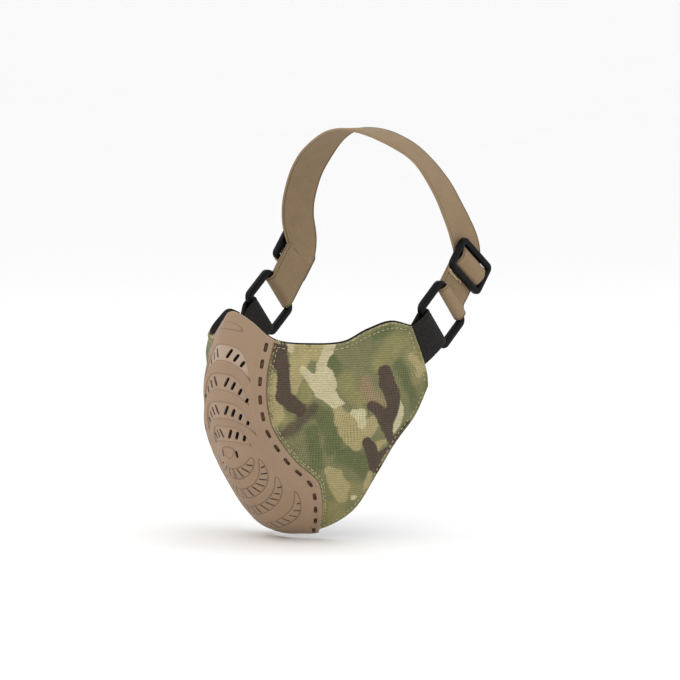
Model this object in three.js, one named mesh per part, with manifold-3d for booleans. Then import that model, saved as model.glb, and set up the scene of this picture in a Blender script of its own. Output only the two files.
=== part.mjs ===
// A camouflage lower-face mask: a moulded front plate with vents, two padded cloth cheeks,
// and an elastic band over the crown, held by a rectangular ring and a slider on each side.
// Millimetres, +Z up. The origin is the centre of the wearer's head at ring level. The mask
// faces -Y and the wearer's left is +X. The left side is drawn and the right is its mirror.
import * as THREE from 'three';
import { mergeVertices } from 'three/addons/utils/BufferGeometryUtils.js';
import Module from 'manifold-3d';

// ---- driving dimensions ----
const FACE_WIDTH = 142;        // across the two cheeks at their rear edges
const FACE_DEPTH = 106;        // from the ring line to the front of the muzzle
const FACE_HEIGHT = 132.3;     // from the nose bridge to the bottom of the chin
const CROWN_HEIGHT = 124.5;    // top of the band over the head
const CLEARANCE = 0.3;         // running gap between pieces that lie on each other

const PLATE_THICKNESS = 2.6;
const SEAM_OVERLAP = 9;        // width of the cheek edge that is tucked under the plate
const MESH_THICKNESS = 0.6;
const MESH_MARGIN = 0.02;      // share of the plate's height left free above and below the mesh

const COVER_THICKNESS = 0.8;
const FOAM_THICKNESS = 4;
const LINING_THICKNESS = 0.8;
const FOAM_INSET = 2.5;        // foam stops short of the bound edges
const TAB_INSET = 11;          // length of webbing sewn under the rear of the cover
const FOAM_TAB_GAP = 1.5;      // from the foam's rear edge to the webbing's end

// Arches of slots above the mouth: each slot is shorter and lower than the one before it.
const VENT_WIDTH = 1.6;
const VENT_LENGTH = 6;
const VENT_LEAN = 0.5;         // radians, the slots' tops turned out from the centre line
const VENT_SHORTENING = 0.17;  // share of the length lost from each slot to the next
const ARCH_PITCH = 4.2;
const ARCH_START = 4;          // from the centre line to the first slot
const ARCH_DROP = 0.025;       // drop per square of the distance out
const ARCHES = [
  { rise: 11.5, slots: 3 },
  { rise: 26, slots: 4 },
  { rise: 42.5, slots: 4 },
  { rise: 59, slots: 3 },
];
// Crescents of radial slots below it, each round a centre of its own that lies below the mouth.
const SPOKE_WIDTH = 1;
const SPOKE_LENGTH = 5.2;
const CRESCENTS = [
  { centre: 4.5, radius: 9.2, widening: 0.3, start: 21, step: 22, slots: 3 },
  { centre: 13.5, radius: 14.1, widening: 0.18, start: 18, step: 16, slots: 6 },
  { centre: 25.5, radius: 15.4, widening: 0.38, start: 12, step: 15, slots: 6 },
  { centre: 40, radius: 16.5, widening: 0.6, start: 15, step: 15, slots: 6 },
];
const MOUTH_SLOT = { out: 4.5, below: 1.2, length: 4.5, width: 1.8 };
const SEAM_SLOTS = 14;
const SEAM_SLOT_LENGTH = 5.5;
const SEAM_SLOT_WIDTH = 2;
const SEAM_SLOT_INSET = 4;     // from the plate's edge to the row of slots
const SEAM_SLOTS_FROM = 0.05;  // as shares of the seam's length
const SEAM_SLOTS_TO = 0.97;

const WEBBING_WIDTH = 25;
const WEBBING_THICKNESS = 1.6;
const STRAP_WIDTH = 25;
const STRAP_THICKNESS = 1.3;
const RING_LEAN = 50;          // degrees from the vertical, towards the rear
const STRAP_LEAN = 38;

const RING_SIDE_GAP = 1;       // beside the widest strap in the window
const RING_CORNER = 5;
const RING_WINDOW_CORNER = 1.2;
const RING_HEIGHT = 27;
const RING_BAR = 4;
const RING_THICKNESS = 3.6;
const RING_REACH = 27.5;       // from the cheek's rear edge to the middle of the ring
const RING_SINK = -1.5;        // from the cover's outside to the middle of the ring

const SLIDER_SIDE_GAP = 0.1;
const SLIDER_CORNER = 3.5;
const SLIDER_WINDOW_CORNER = 0.6;
const MOULDED_BEVEL = 0.7;
const SLIDER_HEIGHT = 21;
const SLIDER_BAR = 3.4;
const SLIDER_THICKNESS = 3;
const SLIDER_ABOVE_BAR = 25.5; // from the ring's upper bar to the slider's middle

const LAYER_GAP = 0.4;          // between the band's two layers under the slider

const BAND_SIDE = 68;          // half the width that the band's way over the head is drawn at
const BAND_TOP = 124.5;        // and the height
const BAND_TURN = 14;          // how far the band's face turns to the rear on the side of the head
const BAND_FLARE = 1.25;

const HUMP_NARROWER = 1;       // the hump is a little narrower than the slider's windows
const HUMP_RISE = 0.3;
const HUMP_SHOULDER = { along: 0.82, out: 0.28 };   // shares of its foot and of the slider

const TACK_BELOW = 1.5;        // below the slider
const TACK_ASIDE = -7;         // from the strap's middle
const TACK_LENGTH = 9;
const TACK_WIDTH = 1.6;
const TACK_THICKNESS = 0.5;

// ---- materials ----
const look = (color, roughness) => new THREE.MeshStandardMaterial({ color, roughness, metalness: 0 });
const looks = {
  plate: look(0x9b8268, 0.72),
  mesh: look(0x15151a, 0.9),
  camo: look(0x6e7144, 0.95),
  foam: look(0x2a2a2c, 0.98),
  lining: look(0x141416, 0.95),
  webbing: look(0x19191b, 0.85),
  plastic: look(0x1b1b1d, 0.35),
  strap: look(0xa88862, 0.9),
  thread: look(0xb9a44a, 0.85),
};

// ---- the face form: ribs from the top edge to the bottom edge, on the cheek cover's outside ----
const FORM = { width: 142, depth: 106, height: 132.3 };   // the form that the ribs are drawn on
const ribPoints = {
  centre: [[0, -96, 20.8], [0, -103.7, 1.6], [0, -106, -18.6], [0, -105.6, -35], [0, -102.2, -48.7],
    [0, -94.8, -71.4], [0, -79.5, -94], [0, -68, -104], [0, -50.5, -111.5]],
  flank: [[9.5, -92, 15.5], [12, -97.5, -0.5], [12.5, -102.5, -19.5], [13, -101.5, -36], [14, -97, -49],
    [16.5, -84, -74], [15, -70, -95], [12.5, -61, -104.5], [10, -49.5, -111]],
  seam: [[23, -86.5, 5], [23, -92.5, -11.5], [23.5, -94.5, -24], [24, -93.5, -36], [26, -91.5, -46],
    [31, -78.5, -65], [35.5, -63.5, -78.5], [30.5, -54.5, -94], [18.5, -43.5, -110.5]],
  front: [[39.5, -73.5, 2.5], [37.5, -77, -24], [40.5, -70.5, -48.5], [43, -52.5, -73], [41, -38, -97]],
  middle: [[55, -61, 4], [52, -63, -14.5], [52.5, -56, -35], [54.5, -44, -58.5], [53, -30.5, -75.5]],
  peak: [[61, -47, 10.5], [61, -44.5, -17.5], [61.5, -35, -39], [60.5, -23, -57.5]],
  back: [[66.5, -33, 14.5], [67, -29, -3], [67.5, -21.5, -21.5], [66.5, -11.5, -41]],
  rear: [[70.3, -19.5, 11.5], [71, -12.5, -3], [71, -6.5, -16.5], [70.6, -5, -24.5]],
};
const scaled = ([x, y, z]) => new THREE.Vector3(
  x * FACE_WIDTH / FORM.width,
  y * FACE_DEPTH / FORM.depth,
  z * FACE_HEIGHT / FORM.height,
);
const ribs = Object.values(ribPoints).map((points) => new THREE.CatmullRomCurve3(points.map(scaled)));
const PLATE_RIB = 2;                 // the plate ends on the seam rib
const REAR_RIB = ribs.length - 1;
const MIRROR = new THREE.Vector3(-1, 1, 1);

// A point of the face form: across counts ribs from the centre line, down goes from 0 to 1.
function facePoint(across, down) {
  const row = ribs.map((rib) => rib.getPointAt(THREE.MathUtils.clamp(down, 0, 1)));
  const mirrored = row.slice(1).reverse().map((point) => point.clone().multiply(MIRROR));
  const line = new THREE.CatmullRomCurve3([...mirrored, ...row]);
  return line.getPoint((REAR_RIB + across) / (2 * REAR_RIB));
}

const STEP = 0.004;

function faceFrame(across, down) {
  const point = facePoint(across, down);
  const left = Math.min(across + STEP, REAR_RIB);
  const right = Math.max(across - STEP, -REAR_RIB);
  const low = Math.min(down + STEP, 1);
  const high = Math.max(down - STEP, 0);
  const perRib = facePoint(left, down).sub(facePoint(right, down)).divideScalar(left - right);
  const perDown = facePoint(across, low).sub(facePoint(across, high)).divideScalar(low - high);
  const normal = perDown.clone().cross(perRib).normalize();
  return { point, perRib, perDown, normal };
}

// Moves from a place on the form by so many millimetres across.
function walk(across, down, distance) {
  const steps = 4;
  let place = across;
  for (let step = 0; step < steps; step += 1) {
    const { perRib } = faceFrame(place, down);
    place = THREE.MathUtils.clamp(place + distance / steps / perRib.length(), -REAR_RIB, REAR_RIB);
  }
  return [place, down];
}

// ---- solids ----
function evenly(from, to, count) {
  return Array.from({ length: count + 1 }, (_, index) => from + (to - from) * index / count);
}

function solidFrom(positions, faces) {
  const geometry = new THREE.BufferGeometry();
  geometry.setAttribute('position', new THREE.Float32BufferAttribute(positions, 3));
  geometry.setIndex(faces);
  return geometry;
}

// A closed shell over a grid of places on the face form, between two offsets from it.
function faceShell(columns, rows, placeAt, outside, inside) {
  const positions = [];
  const faces = [];
  const count = (columns + 1) * (rows + 1);
  const frames = [];
  for (let row = 0; row <= rows; row += 1) {
    for (let column = 0; column <= columns; column += 1) {
      frames.push(faceFrame(...placeAt(column / columns, row / rows)));
    }
  }
  for (const offset of [outside, inside]) {
    for (const { point, normal } of frames) {
      positions.push(...point.clone().addScaledVector(normal, offset).toArray());
    }
  }
  const at = (column, row) => row * (columns + 1) + column;
  const quad = (a, b, c, d) => faces.push(a, b, c, a, c, d);
  for (let row = 0; row < rows; row += 1) {
    for (let column = 0; column < columns; column += 1) {
      const [a, b] = [at(column, row), at(column, row + 1)];
      const [c, d] = [at(column + 1, row + 1), at(column + 1, row)];
      quad(a, b, c, d);
      quad(a + count, d + count, c + count, b + count);
    }
  }
  for (let row = 0; row < rows; row += 1) {
    const [a, b, c, d] = [at(0, row), at(0, row + 1), at(columns, row), at(columns, row + 1)];
    quad(a, a + count, b + count, b);
    quad(d, d + count, c + count, c);
  }
  for (let column = 0; column < columns; column += 1) {
    const [a, b, c, d] = [at(column, 0), at(column + 1, 0), at(column, rows), at(column + 1, rows)];
    quad(b, b + count, a + count, a);
    quad(c, c + count, d + count, d);
  }
  return solidFrom(positions, faces);
}

// A flat band through stations, each with a middle, a width direction and an outward normal.
function band(stations, width, thickness) {
  const positions = [];
  const faces = [];
  for (const { middle, widthwise, normal } of stations) {
    const half = widthwise.clone().multiplyScalar(width / 2);
    const lift = normal.clone().multiplyScalar(thickness / 2);
    for (const [side, face] of [[-1, 1], [1, 1], [1, -1], [-1, -1]]) {
      const corner = middle.clone().addScaledVector(half, side).addScaledVector(lift, face);
      positions.push(...corner.toArray());
    }
  }
  const quad = (a, b, c, d) => faces.push(a, b, c, a, c, d);
  for (let index = 0; index + 1 < stations.length; index += 1) {
    for (let side = 0; side < 4; side += 1) {
      const a = index * 4 + side;
      const b = index * 4 + (side + 1) % 4;
      quad(a, b, b + 4, a + 4);
    }
  }
  const last = (stations.length - 1) * 4;
  quad(3, 2, 1, 0);
  quad(last, last + 1, last + 2, last + 3);
  return outward(solidFrom(positions, faces));
}

function flipped(geometry) {
  const index = Array.from(geometry.index.array);
  for (let face = 0; face < index.length; face += 3) {
    [index[face + 1], index[face + 2]] = [index[face + 2], index[face + 1]];
  }
  geometry.setIndex(index);
  return geometry;
}

// Turns a closed solid's faces outward if they point in.
function outward(geometry) {
  const points = geometry.attributes.position;
  const index = geometry.index.array;
  const corner = (place) => new THREE.Vector3().fromBufferAttribute(points, index[place]);
  let volume = 0;
  for (let face = 0; face < index.length; face += 3) {
    volume += corner(face).dot(corner(face + 1).cross(corner(face + 2)));
  }
  return volume < 0 ? flipped(geometry) : geometry;
}

function mirrored(geometry) {
  return flipped(geometry.clone().scale(-1, 1, 1));
}

const wasm = await Module();
wasm.setup();

function toManifold(geometry) {
  const bare = geometry.clone();
  bare.deleteAttribute('normal');
  bare.deleteAttribute('uv');
  const merged = mergeVertices(bare, 1e-4);
  return new wasm.Manifold(new wasm.Mesh({
    numProp: 3,
    vertProperties: new Float32Array(merged.attributes.position.array),
    triVerts: new Uint32Array(merged.index.array),
  }));
}

function fromManifold(manifold) {
  const mesh = manifold.getMesh();
  return solidFrom(Array.from(mesh.vertProperties), Array.from(mesh.triVerts));
}

// ---- front plate ----
const MOUTH = { up: 83.5, down: 73.8 };      // along the centre line from the mouth to each edge
const centreLength = ribs[0].getLength();
const mouthDown = MOUTH.up / (MOUTH.up + MOUTH.down);

function plateGrid(column, row) {
  return [PLATE_RIB * (2 * column - 1), row];
}

// A square-ended cutter across the plate at a place on it, turned from straight down.
function slotCutter([across, down], length, width, turn) {
  const { point, perDown, normal } = faceFrame(across, down);
  const depth = 4 * (PLATE_THICKNESS + CLEARANCE);
  const along = perDown.clone().projectOnPlane(normal).normalize().applyAxisAngle(normal, turn);
  const sideways = along.clone().cross(normal);
  const cutter = new THREE.BoxGeometry(width, length, depth);
  cutter.applyMatrix4(new THREE.Matrix4().makeBasis(sideways, along, normal).setPosition(point));
  return toManifold(cutter);
}

// A place on the plate, so many millimetres out from the centre line and below the mouth.
function fromMouth(out, below) {
  return walk(0, mouthDown + below / centreLength, out);
}

function archVents() {
  return ARCHES.flatMap(({ rise, slots }) => evenly(0, slots - 1, slots - 1).flatMap((slot) => {
    const out = ARCH_START + ARCH_PITCH * slot;
    const below = ARCH_DROP * out ** 2 - rise;
    const length = VENT_LENGTH * (1 - VENT_SHORTENING * slot);
    return [-1, 1].map((side) => (
      slotCutter(fromMouth(side * out, below), length, VENT_WIDTH, -side * VENT_LEAN)
    ));
  }));
}

function crescentVents() {
  return CRESCENTS.flatMap(({ centre, radius, widening, start, step, slots }) => (
    evenly(0, slots - 1, slots - 1).flatMap((slot) => {
      const angle = THREE.MathUtils.degToRad(start + step * slot);
      const reach = radius * (1 + widening * (2 * angle / Math.PI) ** 2);
      const [out, below] = [reach * Math.sin(angle), centre + reach * Math.cos(angle)];
      const length = SPOKE_LENGTH * (1 - slot / (slots + 0.3));
      return [-1, 1].map((side) => (
        slotCutter(fromMouth(side * out, below), length, SPOKE_WIDTH, side * angle)
      ));
    })
  ));
}

function mouthVents() {
  const { out, below, length, width } = MOUTH_SLOT;
  return [-1, 1].map((side) => slotCutter(fromMouth(side * out, below), length, width, 0));
}

function seamSlots() {
  return evenly(SEAM_SLOTS_FROM, SEAM_SLOTS_TO, SEAM_SLOTS - 1).flatMap((down) => (
    [-1, 1].map((side) => {
      const place = walk(side * PLATE_RIB, down, -side * SEAM_SLOT_INSET);
      return slotCutter(place, SEAM_SLOT_LENGTH, SEAM_SLOT_WIDTH, 0);
    })
  ));
}

function frontPlate() {
  const shell = faceShell(18, 26, plateGrid, CLEARANCE + PLATE_THICKNESS, CLEARANCE);
  const cutters = [...archVents(), ...crescentVents(), ...mouthVents(), ...seamSlots()];
  return fromManifold(cutters.reduce((solid, cutter) => solid.subtract(cutter), toManifold(shell)));
}

// Black mesh behind the vents, between the two tucked cheek edges.
function ventMesh() {
  const inset = SEAM_OVERLAP + 1;
  const place = (column, row) => {
    const down = MESH_MARGIN + (1 - 2 * MESH_MARGIN) * row;
    const [edge] = walk(PLATE_RIB, down, -inset);
    return [edge * (2 * column - 1), down];
  };
  return faceShell(14, 24, place, 0, -MESH_THICKNESS);
}

// ---- cheeks ----
const foamOutside = -COVER_THICKNESS - CLEARANCE;
const liningOutside = foamOutside - FOAM_THICKNESS - CLEARANCE;

// The cheek's lattice: its lines run a little inside each bound edge, where the foam stops.
const CHEEK_COLUMNS = 11;
const CHEEK_ROWS = 11;

function cheekPlace(column, row) {
  const rough = PLATE_RIB + (REAR_RIB - PLATE_RIB) * column / (CHEEK_COLUMNS + 3);
  const inset = FOAM_INSET / faceFrame(rough, row / (CHEEK_ROWS + 2)).perDown.length();
  const down = [0, ...evenly(inset, 1 - inset, CHEEK_ROWS), 1][row];
  const [flange] = walk(PLATE_RIB, down, -SEAM_OVERLAP);
  const [foamFront] = walk(PLATE_RIB, down, FOAM_INSET - SEAM_OVERLAP);
  const [foamRear] = walk(REAR_RIB, down, -TAB_INSET - FOAM_TAB_GAP);
  const lines = [flange, ...evenly(foamFront, foamRear, CHEEK_COLUMNS), (foamRear + REAR_RIB) / 2, REAR_RIB];
  return [lines[column], down];
}

function cheekSkin(outside, thickness) {
  const [columns, rows] = [CHEEK_COLUMNS + 3, CHEEK_ROWS + 2];
  const place = (column, row) => cheekPlace(Math.round(column * columns), Math.round(row * rows));
  return faceShell(columns, rows, place, outside, outside - thickness);
}

function cheekFoam() {
  const place = (column, row) => (
    cheekPlace(1 + Math.round(column * CHEEK_COLUMNS), 1 + Math.round(row * CHEEK_ROWS))
  );
  return faceShell(CHEEK_COLUMNS, CHEEK_ROWS, place, foamOutside, foamOutside - FOAM_THICKNESS);
}

// ---- webbing, ring, strap and slider on the left ----
const OUT = new THREE.Vector3(1, 0, 0);

// The directions along and across a strap that leans back from the vertical.
function leaning(degrees) {
  const angle = THREE.MathUtils.degToRad(degrees);
  const up = new THREE.Vector3(0, Math.sin(angle), Math.cos(angle));
  return { up, across: up.clone().cross(OUT) };
}

const ringWay = leaning(RING_LEAN);
const strapWay = leaning(STRAP_LEAN);

// A place beside the head: along a strap's way from a middle, and out from the head.
function beside(middle, way, along, out) {
  return middle.clone().addScaledVector(way.up, along).addScaledVector(OUT, out);
}

const TAB_TOP = 0.03;                // where the webbing leaves the rear edge, as down the rear rib
const tabWidthDown = WEBBING_WIDTH / ribs[REAR_RIB].getLength();
const tabMiddle = facePoint(REAR_RIB, TAB_TOP + tabWidthDown / 2);
const outerTab = foamOutside - WEBBING_THICKNESS / 2;
const innerTab = outerTab - WEBBING_THICKNESS - CLEARANCE;
const TAB_SAG = 0.25;                // the flat webbing keeps clear of the cover's curve
const ringCentre = beside(tabMiddle, ringWay, RING_REACH, RING_SINK);
const barOffset = (RING_HEIGHT - RING_BAR) / 2;
const lowerBar = beside(ringCentre, ringWay, -barOffset, 0);
const upperBar = beside(ringCentre, ringWay, barOffset, 0);
// The slider lies a little further out than the ring, so that the band's two layers stay apart.
const sliderLift = LAYER_GAP + STRAP_THICKNESS - (RING_THICKNESS - SLIDER_THICKNESS) / 2 - CLEARANCE;
const sliderCentre = beside(upperBar, strapWay, SLIDER_ABOVE_BAR, sliderLift);

const flat = (middle, way, face = 1) => (
  { middle, widthwise: way.across, normal: OUT.clone().multiplyScalar(face) }
);

// Half a turn round a ring's bar through its window, from the inner layer to the outer one.
function roundBar(bar, radius, towardsWindow) {
  const steps = 10;
  const stations = [];
  for (let step = 0; step <= steps; step += 1) {
    const angle = Math.PI * step / steps;
    const normal = ringWay.up.clone().multiplyScalar(towardsWindow * Math.sin(angle));
    normal.addScaledVector(OUT, -Math.cos(angle));
    const middle = bar.clone().addScaledVector(normal, radius);
    stations.push({ middle, widthwise: ringWay.across, normal });
  }
  return stations;
}

function webbingTab() {
  const radius = RING_THICKNESS / 2 + CLEARANCE * 2 + WEBBING_THICKNESS / 2;
  const layer = (offset, face) => [-TAB_INSET, -TAB_INSET / 2, 0].map((inboard) => {
    const place = walk(REAR_RIB, TAB_TOP + tabWidthDown / 2, inboard);
    const { point, normal } = faceFrame(...place);
    const top = facePoint(...walk(REAR_RIB, TAB_TOP, inboard));
    const bottom = facePoint(...walk(REAR_RIB, TAB_TOP + tabWidthDown, inboard));
    return {
      middle: point.clone().addScaledVector(normal, offset - TAB_SAG),
      widthwise: bottom.sub(top).projectOnPlane(normal).normalize(),
      normal: normal.clone().multiplyScalar(face),
    };
  });
  return band([
    ...layer(innerTab, -1),
    ...roundBar(lowerBar, radius, 1),
    flat(beside(lowerBar, ringWay, -RING_BAR / 2 - 1, radius), ringWay),
    ...layer(outerTab, 1).reverse(),
  ], WEBBING_WIDTH, WEBBING_THICKNESS);
}

function roundedRectangle(Kind, width, height, radius) {
  const [x, y] = [width / 2, height / 2];
  const outline = new Kind();
  outline.moveTo(-x + radius, -y);
  outline.lineTo(x - radius, -y);
  outline.absarc(x - radius, -y + radius, radius, -Math.PI / 2, 0);
  outline.lineTo(x, y - radius);
  outline.absarc(x - radius, y - radius, radius, 0, Math.PI / 2);
  outline.lineTo(-x + radius, y);
  outline.absarc(-x + radius, y - radius, radius, Math.PI / 2, Math.PI);
  outline.lineTo(-x, -y + radius);
  outline.absarc(-x + radius, -y + radius, radius, Math.PI, 1.5 * Math.PI);
  return outline;
}

// Moulded hardware: a rounded plate with windows, its long side across the strap.
function hardware(length, height, thickness, cornerRadius, windows, way, centre) {
  const bevel = MOULDED_BEVEL;
  const outline = roundedRectangle(THREE.Shape, length - 2 * bevel, height - 2 * bevel, cornerRadius - bevel);
  for (const { middle, width, tall, radius } of windows) {
    const hole = roundedRectangle(THREE.Path, width + 2 * bevel, tall + 2 * bevel, radius + bevel);
    const points = hole.getPoints(3).map((point) => point.add(new THREE.Vector2(0, middle)));
    outline.holes.push(new THREE.Path(points));
  }
  const geometry = new THREE.ExtrudeGeometry(outline, {
    depth: thickness - 2 * bevel,
    bevelEnabled: true,
    bevelThickness: bevel,
    bevelSize: bevel,
    bevelSegments: 1,
    curveSegments: 4,
  });
  geometry.translate(0, 0, bevel - thickness / 2);
  geometry.applyMatrix4(new THREE.Matrix4().makeBasis(way.across, way.up, OUT).setPosition(centre));
  geometry.deleteAttribute('normal');
  geometry.deleteAttribute('uv');
  return outward(mergeVertices(geometry, 1e-3));
}

function ring() {
  const width = Math.max(WEBBING_WIDTH, STRAP_WIDTH) + 2 * RING_SIDE_GAP;
  const window = { middle: 0, width, tall: RING_HEIGHT - 2 * RING_BAR, radius: RING_WINDOW_CORNER };
  const length = width + 2 * RING_BAR;
  return hardware(length, RING_HEIGHT, RING_THICKNESS, RING_CORNER, [window], ringWay, ringCentre);
}

const sliderWindow = (SLIDER_HEIGHT - 3 * SLIDER_BAR) / 2;

function slider() {
  const length = STRAP_WIDTH + 2 * (SLIDER_SIDE_GAP + SLIDER_BAR);
  const windows = [-1, 1].map((side) => ({
    middle: side * (SLIDER_BAR + sliderWindow) / 2,
    width: length - 2 * SLIDER_BAR + SLIDER_WINDOW_CORNER,
    tall: sliderWindow,
    radius: SLIDER_WINDOW_CORNER,
  }));
  return hardware(
    length, SLIDER_HEIGHT, SLIDER_THICKNESS, SLIDER_CORNER, windows, strapWay, sliderCentre,
  );
}

// The band lies in two layers between the ring and the slider.
const loopRadius = RING_THICKNESS / 2 + CLEARANCE * 2 + STRAP_THICKNESS / 2;
const innerLayer = -loopRadius;                       // out from the ring's middle plane
const underSlider = -SLIDER_THICKNESS / 2 - CLEARANCE - STRAP_THICKNESS / 2;   // out from the slider's
const LAYER_JOIN = 5;                // above the upper bar, where the loop's inner end meets the band

function strapLoop() {
  return band([
    flat(beside(upperBar, strapWay, LAYER_JOIN, innerLayer), strapWay, -1),
    ...roundBar(upperBar, loopRadius, -1),
    flat(beside(upperBar, ringWay, RING_BAR / 2 + 2, loopRadius * 0.85), ringWay),
    flat(beside(sliderCentre, strapWay, -SLIDER_HEIGHT / 2 - 2.5, underSlider), strapWay),
    flat(beside(sliderCentre, strapWay, 0, underSlider), strapWay),
  ], STRAP_WIDTH, STRAP_THICKNESS);
}

// The elastic band from one side's ring, under its slider and over the crown to the other side.
function crownBand() {
  const straight = [0, 0.25, 0.5, 0.75, 1].map((share) => {
    const along = THREE.MathUtils.lerp(LAYER_JOIN + CLEARANCE, SLIDER_ABOVE_BAR, share);
    return beside(upperBar, strapWay, along, innerLayer);
  });
  const side = straight[0].x;
  const rise = (x, y, z) => (
    new THREE.Vector3(x * side / BAND_SIDE, y, z * CROWN_HEIGHT / BAND_TOP)
  );
  const overHead = [rise(67.8, 32.5, 57), rise(66.8, 29.5, 67), rise(63.8, 26.5, 77), rise(59.3, 24.5, 87),
    rise(53, 22.5, 97), rise(46, 21, 105), rise(37.5, 18.8, 112), rise(27, 15.5, 118),
    rise(14, 12, 122.8), rise(0, 10.5, 124.5)];
  const half = [...straight, ...overHead];
  const path = [...half, ...half.slice(0, -1).reverse().map((point) => point.clone().multiply(MIRROR))];
  const curve = new THREE.CatmullRomCurve3(path, false, 'centripetal');
  const steps = 72;
  const stations = [];
  for (let step = 0; step <= steps; step += 1) {
    const middle = curve.getPointAt(step / steps);
    const along = curve.getTangentAt(step / steps);
    const away = new THREE.Vector3(
      middle.x * BAND_FLARE, rearTilt(middle), Math.max(middle.z - side, 0),
    );
    const normal = away.projectOnPlane(along).normalize();
    stations.push({ middle, widthwise: normal.clone().cross(along), normal });
  }
  return band(stations, STRAP_WIDTH, STRAP_THICKNESS);
}

// The band's face turns a little to the rear where it climbs the back of the head.
function rearTilt(middle) {
  const onSide = THREE.MathUtils.smoothstep(middle.z, sliderCentre.z, sliderCentre.z + 25);
  const nearCrown = THREE.MathUtils.smoothstep(middle.z, CROWN_HEIGHT - 20, CROWN_HEIGHT);
  return BAND_TURN * onSide * (1 - nearCrown);
}

// The band's hump over the slider's centre bar.
function strapHump() {
  const lift = SLIDER_THICKNESS / 2 + CLEARANCE * 1.5 + STRAP_THICKNESS / 2;
  const foot = SLIDER_BAR / 2 + sliderWindow - CLEARANCE * 1.5 - STRAP_THICKNESS / 2;
  const shoulder = foot * HUMP_SHOULDER.along;
  const shoulderOut = SLIDER_THICKNESS * HUMP_SHOULDER.out;
  const profile = new THREE.CatmullRomCurve3([
    new THREE.Vector3(-foot, -SLIDER_THICKNESS / 2 + STRAP_THICKNESS / 2, 0),
    new THREE.Vector3(-shoulder, shoulderOut, 0),
    new THREE.Vector3(-SLIDER_BAR / 2, lift, 0),
    new THREE.Vector3(0, lift + HUMP_RISE, 0),
    new THREE.Vector3(SLIDER_BAR / 2, lift, 0),
    new THREE.Vector3(shoulder, shoulderOut, 0),
    new THREE.Vector3(foot, -SLIDER_THICKNESS / 2 + STRAP_THICKNESS / 2, 0),
  ]);
  const stations = [];
  const steps = 18;
  for (let step = 0; step <= steps; step += 1) {
    const { x: along, y: out } = profile.getPointAt(step / steps);
    const tangent = profile.getTangentAt(step / steps);
    const normal = strapWay.up.clone().multiplyScalar(-tangent.y).addScaledVector(OUT, tangent.x);
    const middle = beside(sliderCentre, strapWay, along, out);
    stations.push({ middle, widthwise: strapWay.across, normal });
  }
  return band(stations, STRAP_WIDTH - HUMP_NARROWER, STRAP_THICKNESS);
}

// The row of thread that closes the loop, just below the slider.
function barTack() {
  const out = underSlider + STRAP_THICKNESS / 2 + CLEARANCE + TACK_THICKNESS / 2;
  const middle = beside(sliderCentre, strapWay, -SLIDER_HEIGHT / 2 - TACK_BELOW, out);
  middle.addScaledVector(strapWay.across, TACK_ASIDE);
  const tack = new THREE.BoxGeometry(TACK_LENGTH, TACK_WIDTH, TACK_THICKNESS);
  tack.applyMatrix4(new THREE.Matrix4().makeBasis(strapWay.across, strapWay.up, OUT).setPosition(middle));
  return tack;
}

// ---- the mask ----
const group = new THREE.Group();

function add(name, geometry, material) {
  const mesh = new THREE.Mesh(geometry, material.clone());
  mesh.name = name;
  group.add(mesh);
}

function addPair(name, geometry, material) {
  add(`left_${name}`, geometry, material);
  add(`right_${name}`, mirrored(geometry.index ? geometry : mergeVertices(geometry)), material);
}

add('front_plate', frontPlate(), looks.plate);
add('vent_mesh', ventMesh(), looks.mesh);
add('crown_strap', crownBand(), looks.strap);
addPair('cheek_cover', cheekSkin(0, COVER_THICKNESS), looks.camo);
addPair('cheek_foam', cheekFoam(), looks.foam);
addPair('cheek_lining', cheekSkin(liningOutside, LINING_THICKNESS), looks.lining);
addPair('webbing_tab', webbingTab(), looks.webbing);
addPair('strap_ring', ring(), looks.plastic);
addPair('strap_loop', strapLoop(), looks.strap);
addPair('slider', slider(), looks.plastic);
addPair('strap_hump', strapHump(), looks.strap);
addPair('bar_tack', barTack(), looks.thread);

export default group;
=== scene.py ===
"""Lower-face mask in camouflage cloth: the visible surfaces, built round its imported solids.

All sizes are in millimetres until a mesh is made. A place on the face form is a pair: across
counts ribs from the centre line to the rear edge, and down goes from 0 at the top to 1.
"""
import math

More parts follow.
